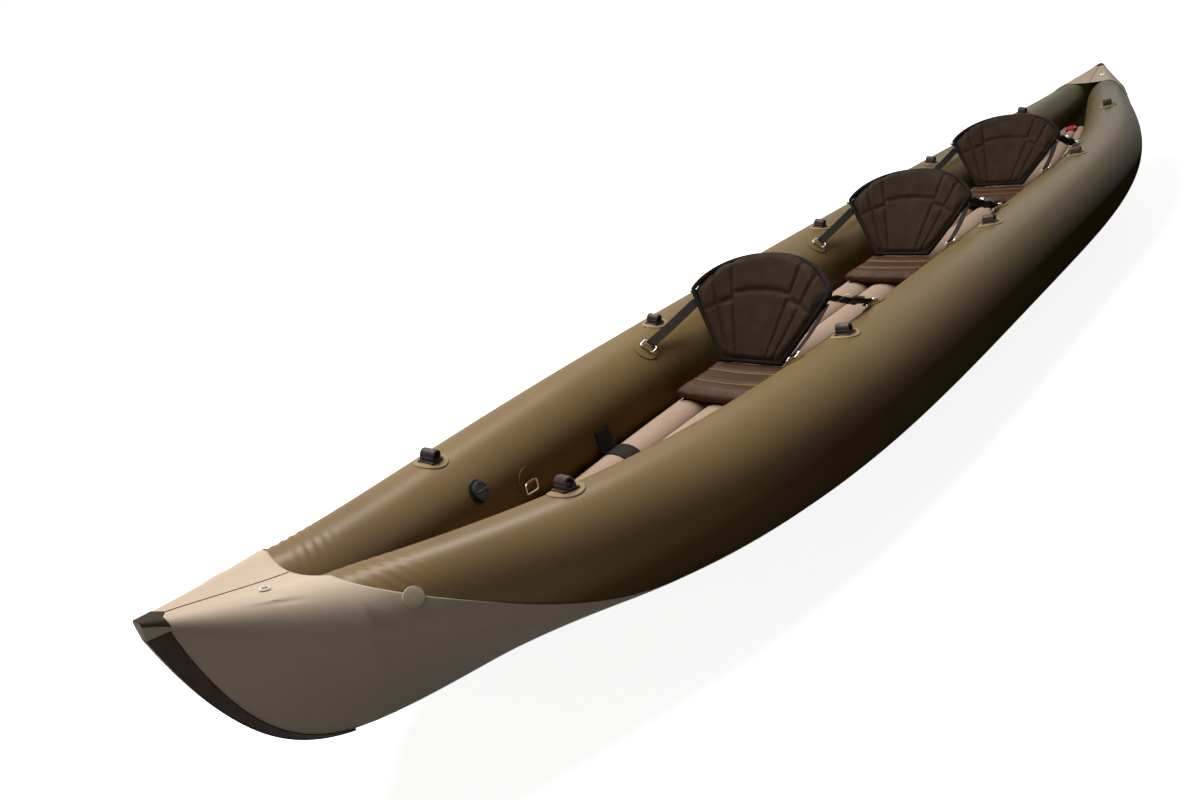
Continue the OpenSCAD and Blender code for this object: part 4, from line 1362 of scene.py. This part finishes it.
@dataclass
class Backrest:
    """Padded fan that folds forwards about its lower edge."""

    height: float = 0.285
    corner_height: float = 0.19
    corner_half: float = 0.216
    base_half: float = 0.085
    thickness: float = 0.03
    edge: float = 0.009
    wrap: float = 0.041
    lean: float = 33.0
    fold_z: float = 0.2603
    corner_cut: float = 0.075
    binding_inset: float = 0.985
    seams: tuple[float, ...] = (-0.72, -0.48, 0.48, 0.72)
    seam_width: float = 0.022
    seam_depth: float = 0.0065
    arch: float = 0.65
    arch_width: float = 0.028
    arch_drop: float = 0.05
    side_arch: float = 0.6
    binding_radius: float = 0.0066
    form: PaddedForm = field(default_factory=lambda: PaddedForm(most=0.011, voxel=0.0045))

    def at(self, height: float, side: float, out: float) -> Vector:
        """Point at a height and side of the slope, and so far towards the paddler."""
        lean = math.radians(self.lean)
        wrap = self.wrap * (side / self.corner_half) ** 2 + out
        return Vector((
            height * math.sin(lean) - wrap * math.cos(lean),
            side,
            self.fold_z + height * math.cos(lean) + wrap * math.sin(lean),
        ))

    def rise(self, u: float) -> float:
        """Height of the top edge at a share of the half width."""
        return mix(self.height, self.corner_height, abs(u) ** 2.2)

    def fan(self, u: float, v: float) -> tuple[float, float]:
        """Height and side of a point of the fan, with rounded corners."""
        cut = 1 - self.corner_cut * abs(u * v) ** 6
        return v * self.rise(u) * cut, u * mix(self.base_half, self.corner_half, v) * cut

    def shares(self, point: Vector) -> tuple[float, float, float]:
        """Where a point lies on the fan.

        Args:
            point: A point of the swelled form, at the seat's fold.

        Returns:
            Share of the half width, share of the height, and distance towards the paddler.
        """
        lean = math.radians(self.lean)
        dx, dz = point.x, point.z - self.fold_z
        height = dx * math.sin(lean) + dz * math.cos(lean)
        out = -dx * math.cos(lean) + dz * math.sin(lean) - self.wrap * (point.y / self.corner_half) ** 2
        u, v = 0.0, 0.5
        for _ in range(6):
            half = mix(self.base_half, self.corner_half, clamp(v))
            u = max(-1.0, min(1.0, point.y / half))
            v = height / self.rise(u)
        return u, v, out

    def slab(self) -> BMesh:
        """Even starting form, a little inside the outline."""

        def place(u: float, v: float) -> Vector:
            """Point of the slab's rear face."""
            height, side = self.fan(2 * u - 1, mix(0.004, 1.0, v))
            return self.at(height, side, -self.edge / 2)

        bm = bent_grid(64, 44, place, (0.42, 0.28))
        front = self.at(0.1, 0.0, 0.3)
        outwards(bm)
        tilt = sum((f.normal.dot(front - f.calc_center_median()) for f in bm.faces), 0.0)
        if tilt > 0:
            bmesh.ops.reverse_faces(bm, faces=bm.faces)
        bmesh.ops.solidify(bm, geom=bm.faces, thickness=self.edge)
        outwards(bm)
        return bm

    def front(self) -> Vector:
        """Way out of the paddler's face."""
        lean = math.radians(self.lean)
        return Vector((-math.cos(lean), 0.0, math.sin(lean)))

    def sew(self, bm: BMesh) -> None:
        """Press the seams in on the paddler's face and keep the padding's thickness."""
        front = self.front()
        for vert in bm.verts:
            u, v, out = self.shares(vert.co)
            inner = clamp((1 - abs(u)) / 0.12) * clamp((1 - v) / 0.1) * clamp(v / 0.06)
            if out > 0:
                lines = [bump(u, seam, self.seam_width) for seam in self.seams]
                inner_seam, outer_seam = self.seams[-2:]
                arch_at = self.arch - self.arch_drop * (abs(u) > inner_seam)
                share = 1.0 if abs(u) < outer_seam else self.side_arch
                lines.append(bump(v, arch_at, self.arch_width) * share)
                vert.co -= front * self.seam_depth * max(lines) * inner
            limit = self.thickness / 2 + 0.001
            if abs(out) > limit:
                vert.co -= front * (out - math.copysign(limit, out))

    def build(self) -> BMesh:
        """Make the backrest at the seat's fold."""
        bm = self.form.swell(self.slab(), "backrest_form", self.front())
        self.sew(bm)
        return bm

    def rim(self, fold: float) -> list[Vector]:
        """Line of the bound edge, from one lower corner over the top to the other."""
        edge = self.binding_inset
        line = [self.at(*self.fan(-edge, edge * k / 24), 0.0) for k in range(25)]
        line += [self.at(*self.fan(edge * (k / 30 - 1), edge), 0.0) for k in range(1, 60)]
        line += [self.at(*self.fan(edge, edge * (1 - k / 24)), 0.0) for k in range(25)]
        return [point + Vector((fold, 0.0, 0.0)) for point in line]


@dataclass
class Straps:
    """Webbing between the tubes' rings and a backrest, with its slider and buckle."""

    width: float = 0.025
    thickness: float = 0.0018
    bar_height: float = 0.0059
    ring_depth: float = 0.022
    eye: float = 0.0023
    end_room: float = 0.008
    buckle_share: float = 0.44
    slider_share: float = 0.74
    front_angle: float = -34.0
    front_height: float = 0.146
    rear_behind: float = 0.24
    rear_angle: float = -30.0
    rear_height: float = 0.166
    sag: float = 0.004
    slack_start: float = 0.03
    rear_hold: float = 0.86
    back: Backrest = field(default_factory=Backrest)

    def sewn(self, fold: float, height: float, side: Side, inset: float, out: float) -> Vector:
        """Point by the backrest's edge where a strap is sewn on."""
        edge = mix(self.back.base_half, self.back.corner_half, height / self.back.corner_height)
        point = self.back.at(height, side.value * (edge + inset), out)
        return point + Vector((fold, 0.0, 0.0))

    def sewn_height(self, front: bool) -> float:
        """Height on the backrest where a strap is sewn on."""
        return self.front_height if front else self.rear_height

    def anchor(self, x: float, angle: float, side: Side) -> tuple[Vector, Vector]:
        """Middle of a ring's bar, and the way out of the tube there."""
        matrix = LINES.tube_frame(x, angle, side)
        out = matrix.col[2].to_3d()
        return matrix.translation + out * self.bar_height, out

    def run(self, fold: float, side: Side, front: bool) -> tuple[Matrix, float]:
        """Frame of a strap: x across it, y along it from the ring's bar.

        Args:
            fold: Station of the seat's fold.
            side: Which side of the seat.
            front: Whether it is the front strap.

        Returns:
            The frame and the strap's length.
        """
        x = fold - FRONT_RING_AHEAD if front else fold + self.rear_behind
        bar, out = self.anchor(x, self.front_angle if front else self.rear_angle, side)
        reach = self.sewn(fold, self.sewn_height(front), side, self.end_room, 0.0) - bar
        along = reach.normalized()
        across = along.cross(out).normalized()
        matrix = Matrix((across, along, across.cross(along))).transposed().to_4x4()
        matrix.translation = bar
        return matrix, reach.length

    def ribbon(self, name: str, fold: float, side: Side, front: bool) -> Object:
        """Make one strap, from its eye round the ring to the back of the backrest."""
        matrix, length = self.run(fold, side, front)
        height = self.sewn_height(front)
        inverse = matrix.inverted()
        end = inverse @ self.sewn(fold, height, side, -0.03, -0.0135)
        edge = inverse @ self.sewn(fold, height, side, 0.002, -0.006)
        radius = self.eye + self.thickness / 2
        line = []
        for angle in range(-20, -341, -20):
            turn = math.radians(angle)
            line.append(Vector((0.0, self.ring_depth + radius * math.cos(turn), radius * math.sin(turn))))
        start = line[-1]
        for k in range(1, 25):
            point = start.lerp(edge, k / 24)
            sag = self.sag * math.sin(math.pi * k / 24)
            line.append(Vector((point.x, point.y, point.z - sag)))
        line += [edge.lerp(end, k / 6) for k in range(1, 7)]
        last = len(line) - 1

        def place(u: float, v: float) -> Vector:
            """Point of the strap's face."""
            spot = line[round(u * last)]
            return matrix @ (spot + Vector((mix(-0.5, 0.5, v) * self.width, 0.0, 0.0)))

        bm = bent_grid(last, 6, place, (length, self.width))
        outwards(bm)
        bmesh.ops.solidify(bm, geom=bm.faces, thickness=self.thickness)
        outwards(bm)
        return piece(bm, name, Palette.STRAP)

    def buckle(self, fold: float, side: Side) -> BMesh:
        """Make a side-release buckle: body, waist, two prongs and strap bars."""
        parts = [
            block((0.0338, 0.02, 0.0088), (0, -0.0125, 0), 0.0018),
            block((0.0338, 0.012, 0.0088), (0, 0.0165, 0), 0.0018),
            block((0.022, 0.02, 0.0074), (0, 0.002, 0), 0.0016),
        ]
        parts += [block((0.005, 0.022, 0.0064), (way * 0.0142, 0.0025, 0), 0.0016) for way in (-1, 1)]
        return self.on_strap(parts, fold, side, self.buckle_share)

    def slider(self, fold: float, side: Side) -> BMesh:
        """Make a slider: a flat frame with a middle bar."""
        parts = [block((0.0036, 0.02, 0.0032), (way * 0.0151, 0, 0), 0.0012) for way in (-1, 1)]
        parts += [block((0.0338, 0.0036, 0.0032), (0, way * 0.0082, 0), 0.0012) for way in (-1, 1)]
        parts.append(block((0.0338, 0.0042, 0.0022), (0, 0, 0.0022), 0.001))
        return self.on_strap(parts, fold, side, self.slider_share)

    def on_strap(self, parts: Sequence[BMesh], fold: float, side: Side, share: float) -> BMesh:
        """Join the parts of a fitting and put it on a rear strap.

        Args:
            parts: The parts, which are freed.
            fold: Station of the seat's fold.
            side: Which side of the seat.
            share: Share of the strap's length where it sits.

        Returns:
            The fitting.
        """
        matrix, length = self.run(fold, side, False)
        return put(join("fitting", parts), matrix @ Matrix.Translation((0.0, share * length, 0.0)))

    def build(self, number: int, fold: float) -> None:
        """Make a seat's straps, buckles and sliders."""
        for front in (True, False):
            kind = "front" if front else "rear"
            node = f"seat_{number}_{kind}_straps"
            for side in Side:
                matrix, length = self.run(fold, side, front)
                strap = self.ribbon(f"seat_{number}_{side.name.lower()}_{kind}_strap", fold, side, front)
                slack = self.ring_depth + self.slack_start if front else length * self.rear_hold
                start, end = (tuple(matrix @ Vector((0, y, 0))) for y in (slack, length))
                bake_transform(strap)
                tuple(start)
                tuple(end)
                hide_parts(node)
        buckles = join("buckles", [self.buckle(fold, side) for side in Side])
        pair = piece(buckles, f"seat_{number}_buckle_pair", Palette.BUCKLE)
        settle(pair, "hull", "buckle_plastic", f"seat_{number}_buckles")
        for side in Side:
            low = side.name.lower()
            slider = piece(self.slider(fold, side), f"seat_{number}_{low}_slider_frame", Palette.STEEL)
            settle(slider, f"slider_{number}_{low}", "steel", f"seat_{number}_{low}_slider")


@dataclass
class Seats:
    """The three seats, each a cushion and a backrest with their trim."""

    cushion: SeatCushion = field(default_factory=SeatCushion)
    back: Backrest = field(default_factory=Backrest)
    straps: Straps = field(default_factory=Straps)

    @staticmethod
    def pad(form: BMesh, name: str, finish: Finish, fold: float, body: str, node: str) -> None:
        """Copy a padded form to a seat.

        Args:
            form: The form at the seat's fold.
            name: The piece's name.
            finish: Its finish.
            fold: Station of the seat's fold.
            body: The body it moves with.
            node: The solid that it replaces.
        """
        bm = form.copy()
        bmesh.ops.translate(bm, vec=(fold, 0, 0), verts=bm.verts)
        pad = subdivide(piece(bm, name, finish))
        settle(pad, body, "seat_fabric", node)

    def build(self) -> None:
        """Make all the seats."""
        seat_form, back_form = self.cushion.build(), self.back.build()
        for number, fold in enumerate(SEAT_FOLDS, start=1):
            seat, body = f"seat_{number}", f"backrest_{number}"
            self.pad(seat_form, seat + "_pad", Palette.SEAT_PAD, fold, "hull", seat + "_cushion")
            self.pad(back_form, seat + "_back_pad", Palette.SEAT, fold, body, seat + "_backrest")
            rim, radius = self.back.rim(fold), self.back.binding_radius
            settle(cable(seat + "_back_binding", rim, radius, Palette.BINDING, True), body, "seat_fabric")
            for k, line in enumerate(self.cushion.piping(fold), start=1):
                piping = cable(f"{seat}_piping_{k}", line, self.cushion.piping_radius, Palette.PIPING)
                settle(piping, "hull", "seat_fabric")
            self.straps.build(number, fold)
        seat_form.free()
        back_form.free()


@dataclass
class FootStrap:
    """Webbing across the floor ahead of the first seat."""

    x: float = -1.405
    width: float = 0.052
    lift: float = 0.0012
    thickness: float = 0.0018
    rise: tuple[float, float] = (79.0, 87.0)
    floor_share: float = 0.8
    floor_width: float = 0.94
    floor: AirFloor = field(default_factory=AirFloor)

    def place(self, u: float, v: float) -> Vector:
        """Point of the strap's underside."""
        x = self.x + self.width * (v - 0.5)
        share = abs(2 * u - 1)
        side = Side.STARBOARD if u < 0.5 else Side.PORT
        if share > self.floor_share:
            angle = mix(self.rise[1], self.rise[0], (share - self.floor_share) / (1 - self.floor_share))
            return LINES.on_tube(x, -angle, self.lift + 0.0004, side)
        across = share / self.floor_share * self.floor_width
        spot = 0.5 - 0.5 * across * side.value
        y = self.floor.half_width(x) * (1 - 2 * spot)
        return Vector((x, y, self.floor.top(x, spot) + self.lift))

    def build(self) -> None:
        """Make the strap."""
        bm = bent_grid(90, 8, self.place, (0.42, self.width))
        face_away(bm, lambda point: Vector((point.x, 0.0, 0.0)))
        strap = thicken(piece(bm, "foot_strap_webbing", Palette.STRAP), self.thickness, 1.0)
        settle(strap, "hull", "webbing", "foot_strap")


@dataclass
class Valves:
    """Caps of the three air valves; their inner pieces are solids."""

    tube_x: float = -1.82
    tube_angle: float = -66.0
    floor_x: float = 1.98
    outer: float = 0.0208
    inner: float = 0.0173
    low: float = -0.0017
    top: float = 0.01
    collar_inner: float = 0.0221
    collar_outer: float = 0.0266
    collar_low: float = -0.0035
    ribs: int = 24
    facets: int = 64
    floor_height: float = 0.217

    def spots(self) -> dict[str, Matrix]:
        """Frame of each valve, z out of the fabric."""
        x = self.floor_x
        along = Vector((0.002, 0.0, LINES.keel_z(x + 0.001) - LINES.keel_z(x - 0.001))).normalized()
        across = Vector((0.0, 1.0, 0.0))
        on_floor = Matrix((along, across, along.cross(across))).transposed().to_4x4()
        on_floor.translation = (x, 0.0, self.floor_height + LINES.keel_z(x))
        return {
            "port": LINES.tube_frame(self.tube_x, self.tube_angle, Side.PORT),
            "starboard": LINES.tube_frame(self.tube_x, self.tube_angle, Side.STARBOARD),
            "floor": on_floor,
        }

    def cap(self, matrix: Matrix) -> BMesh:
        """Make a cap: a rounded skirt, grip ribs and a wing."""
        edge = 0.0016
        roof = self.top - 0.003
        profile = [
            (0.0, roof), (self.inner, roof), (self.inner, self.low), (self.outer, self.low),
            (self.outer, self.top - edge), (self.outer - edge * 0.3, self.top - edge * 0.3),
            (self.outer - edge, self.top), (self.outer * 0.74, self.top),
            (self.outer * 0.7, self.top - 0.0012), (0.0, self.top - 0.0012),
        ]
        skirt = turned(profile, self.facets)
        rib = block((0.0012, 0.0022, 0.0086), (self.outer, 0.0, 0.0035), 0.0004, 1)
        bmesh.ops.spin(
            rib,
            geom=rib.verts[:] + rib.edges[:] + rib.faces[:],
            cent=(0, 0, 0),
            axis=(0, 0, 1),
            angle=math.tau * (self.ribs - 1) / self.ribs,
            steps=self.ribs - 1,
            use_duplicate=True,
        )
        wing = block((self.outer * 1.42, 0.005, 0.0042), (0, 0, self.top + 0.0009), 0.0013)
        return put(join("cap", [skirt, rib, wing]), matrix)

    def collar(self, matrix: Matrix) -> BMesh:
        """Make the moulded collar round a cap, its skirt down on the curved tube."""
        inner, outer, low = self.collar_inner, self.collar_outer, self.collar_low
        wall_in = [(inner, low), (inner, 0.0004), (inner + 0.0004, 0.0009)]
        wall_out = [(outer - 0.0008, 0.0009), (outer, 0.0002), (outer, low)]
        return put(turned([*wall_in, *wall_out, (inner, low)], self.facets), matrix)

    def build(self) -> None:
        """Make the caps and the collars."""
        for name, matrix in self.spots().items():
            finish, slot = Palette.RED, "red_plastic"
            if name != "floor":
                finish, slot = Palette.VALVE, "valve_plastic"
                settle(piece(self.collar(matrix), name + "_valve_collar", finish), "hull", slot)
            cap = piece(self.cap(matrix), name + "_valve_cap_moulding", finish)
            settle(cap, name + "_cap", slot, name + "_valve_cap")


def dress_solids() -> None:
    """Give the solids that stay in view their finish."""
    for name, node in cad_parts.items():
        if node.hide_render:
            continue
        finish: Finish = Palette.STEEL
        if "ring_patches" in name:
            finish = Palette.TUBE
        elif name.endswith("valve_body"):
            finish = Palette.VALVE
        elif name.endswith("valve_plunger"):
            finish = Palette.PLUNGER
        node.data.materials.clear()
        node.data.materials.append(Palette.get(finish))
        LOG.info("%s: %s", name, finish.name)


@dataclass
class Studio:
    """Camera, soft lamps and pale floor."""

    position: tuple[float, float, float] = (-2.84876, -1.23551, 1.10255)
    right: tuple[float, float, float] = (0.61899, -0.76363, -0.18364)
    down: tuple[float, float, float] = (-0.39226, -0.09801, -0.91462)
    forward: tuple[float, float, float] = (0.68043, 0.63817, -0.36021)
    focal_px: float = 938.83
    photo_width: int = 1200
    sensor: float = 36.0
    ambient: float = 0.035
    glow: float = 0.88
    glow_span: tuple[float, float] = (2.6, 5.0)
    white: Colour = (1.0, 1.0, 1.0, 1.0)
    floor_lit: Colour = (0.08, 0.08, 0.08, 1.0)
    floor_seen: Colour = (0.95, 0.95, 0.95, 1.0)
    warmth: tuple[float, float, float] = (1.0, 0.95, 0.88)
    floor_size: float = 60.0
    floor_drop: float = 0.002

    def camera(self) -> None:
        """Set the camera at the photograph's view."""
        data = bpy.data.cameras.new("camera")
        data.sensor_width = self.sensor
        data.lens = self.focal_px * self.sensor / self.photo_width
        data.clip_end = 200.0
        camera = bpy.data.objects.new("camera", data)
        axes = (Vector(self.right), -Vector(self.down), -Vector(self.forward))
        matrix = Matrix(axes).transposed().to_4x4()
        matrix.translation = self.position
        camera.matrix_world = matrix
        bpy.context.scene.collection.objects.link(camera)
        bpy.context.scene.camera = camera

    def lamp(
        self, name: str, at: Sequence[float], aim: Sequence[float], size: tuple[float, float], power: float
    ) -> None:
        """Hang one soft warm lamp.

        Args:
            name: Its name.
            at: Its place.
            aim: The point it shines at.
            size: Its width and height.
            power: Its power in watts.
        """
        data = bpy.data.lights.new(name, "AREA")
        data.shape = "RECTANGLE"
        data.size, data.size_y = size
        data.energy = power
        data.color = self.warmth
        lamp = bpy.data.objects.new(name, data)
        lamp.location = at
        lamp.rotation_euler = (Vector(aim) - Vector(at)).to_track_quat("-Z", "Y").to_euler()
        bpy.context.scene.collection.objects.link(lamp)

    def world(self) -> None:
        """Pale surroundings that light the object less than they show."""
        world = bpy.data.worlds.new("studio")
        bpy.context.scene.world = world
        world.use_nodes = True
        tree = Tree(world.node_tree)
        background = tree.tree.nodes["Background"]
        tree.feed(background.inputs[0], self.white)
        tree.feed(background.inputs[1], tree.span(tree.seen(), self.ambient, 1.0, 0.0, 1.0))

    def ground(self) -> None:
        """Pale floor that throws little light back at the object."""
        bm = bmesh.new()
        bmesh.ops.create_grid(bm, x_segments=1, y_segments=1, size=self.floor_size / 2)
        bmesh.ops.translate(bm, vec=(0, 0, -self.floor_drop), verts=bm.verts)
        mesh = bpy.data.meshes.new("ground")
        bm.to_mesh(mesh)
        bm.free()
        ground = bpy.data.objects.new("ground", mesh)
        bpy.context.scene.collection.objects.link(ground)
        graph = Graph("ground")
        graph.constant(Roughness=0.9, Specular_IOR_Level=0.1)
        graph.set("Emission Color", self.white)
        seen = graph.seen()
        graph.set("Base Color", graph.blend(seen, self.floor_lit, self.floor_seen))
        coords = graph.coords(Weave.SPACE)
        distance = graph.node("ShaderNodeVectorMath", {0: coords}, operation="LENGTH").outputs["Value"]
        glow = graph.span(distance, self.glow, 1.0, *self.glow_span)
        graph.set("Emission Strength", graph.math("MULTIPLY", seen, glow))
        mesh.materials.append(graph.material)

    def build(self) -> None:
        """Set up the whole studio."""
        self.camera()
        self.world()
        self.ground()
        self.lamp("key", (-1.0, 1.35, 3.4), (-0.6, 0.0, 0.25), (5.0, 0.9), 285.0)
        self.lamp("fill", (-4.2, -2.2, 0.9), (-2.4, -0.1, 0.3), (1.5, 1.0), 10.0)
        self.lamp("window", (7.5, 0.9, 3.0), (0.0, 0.0, 0.3), (3.0, 2.0), 30.0)
        bpy.context.scene.view_settings.view_transform = "Standard"


def main() -> None:
    """Build the boat piece by piece."""
    logging.basicConfig(level=logging.INFO, format="%(name)s: %(message)s")
    Studio().build()
    for side in Side:
        SideTube(side).build()
    BottomSkin().build()
    for end in End:
        EndCap(end).build()
    AirFloor().build()
    LashingPoints().build()
    CapPatches().build()
    FootStrap().build()
    Valves().build()
    Seats().build()
    dress_solids()


if __name__ == "__main__":
    main()
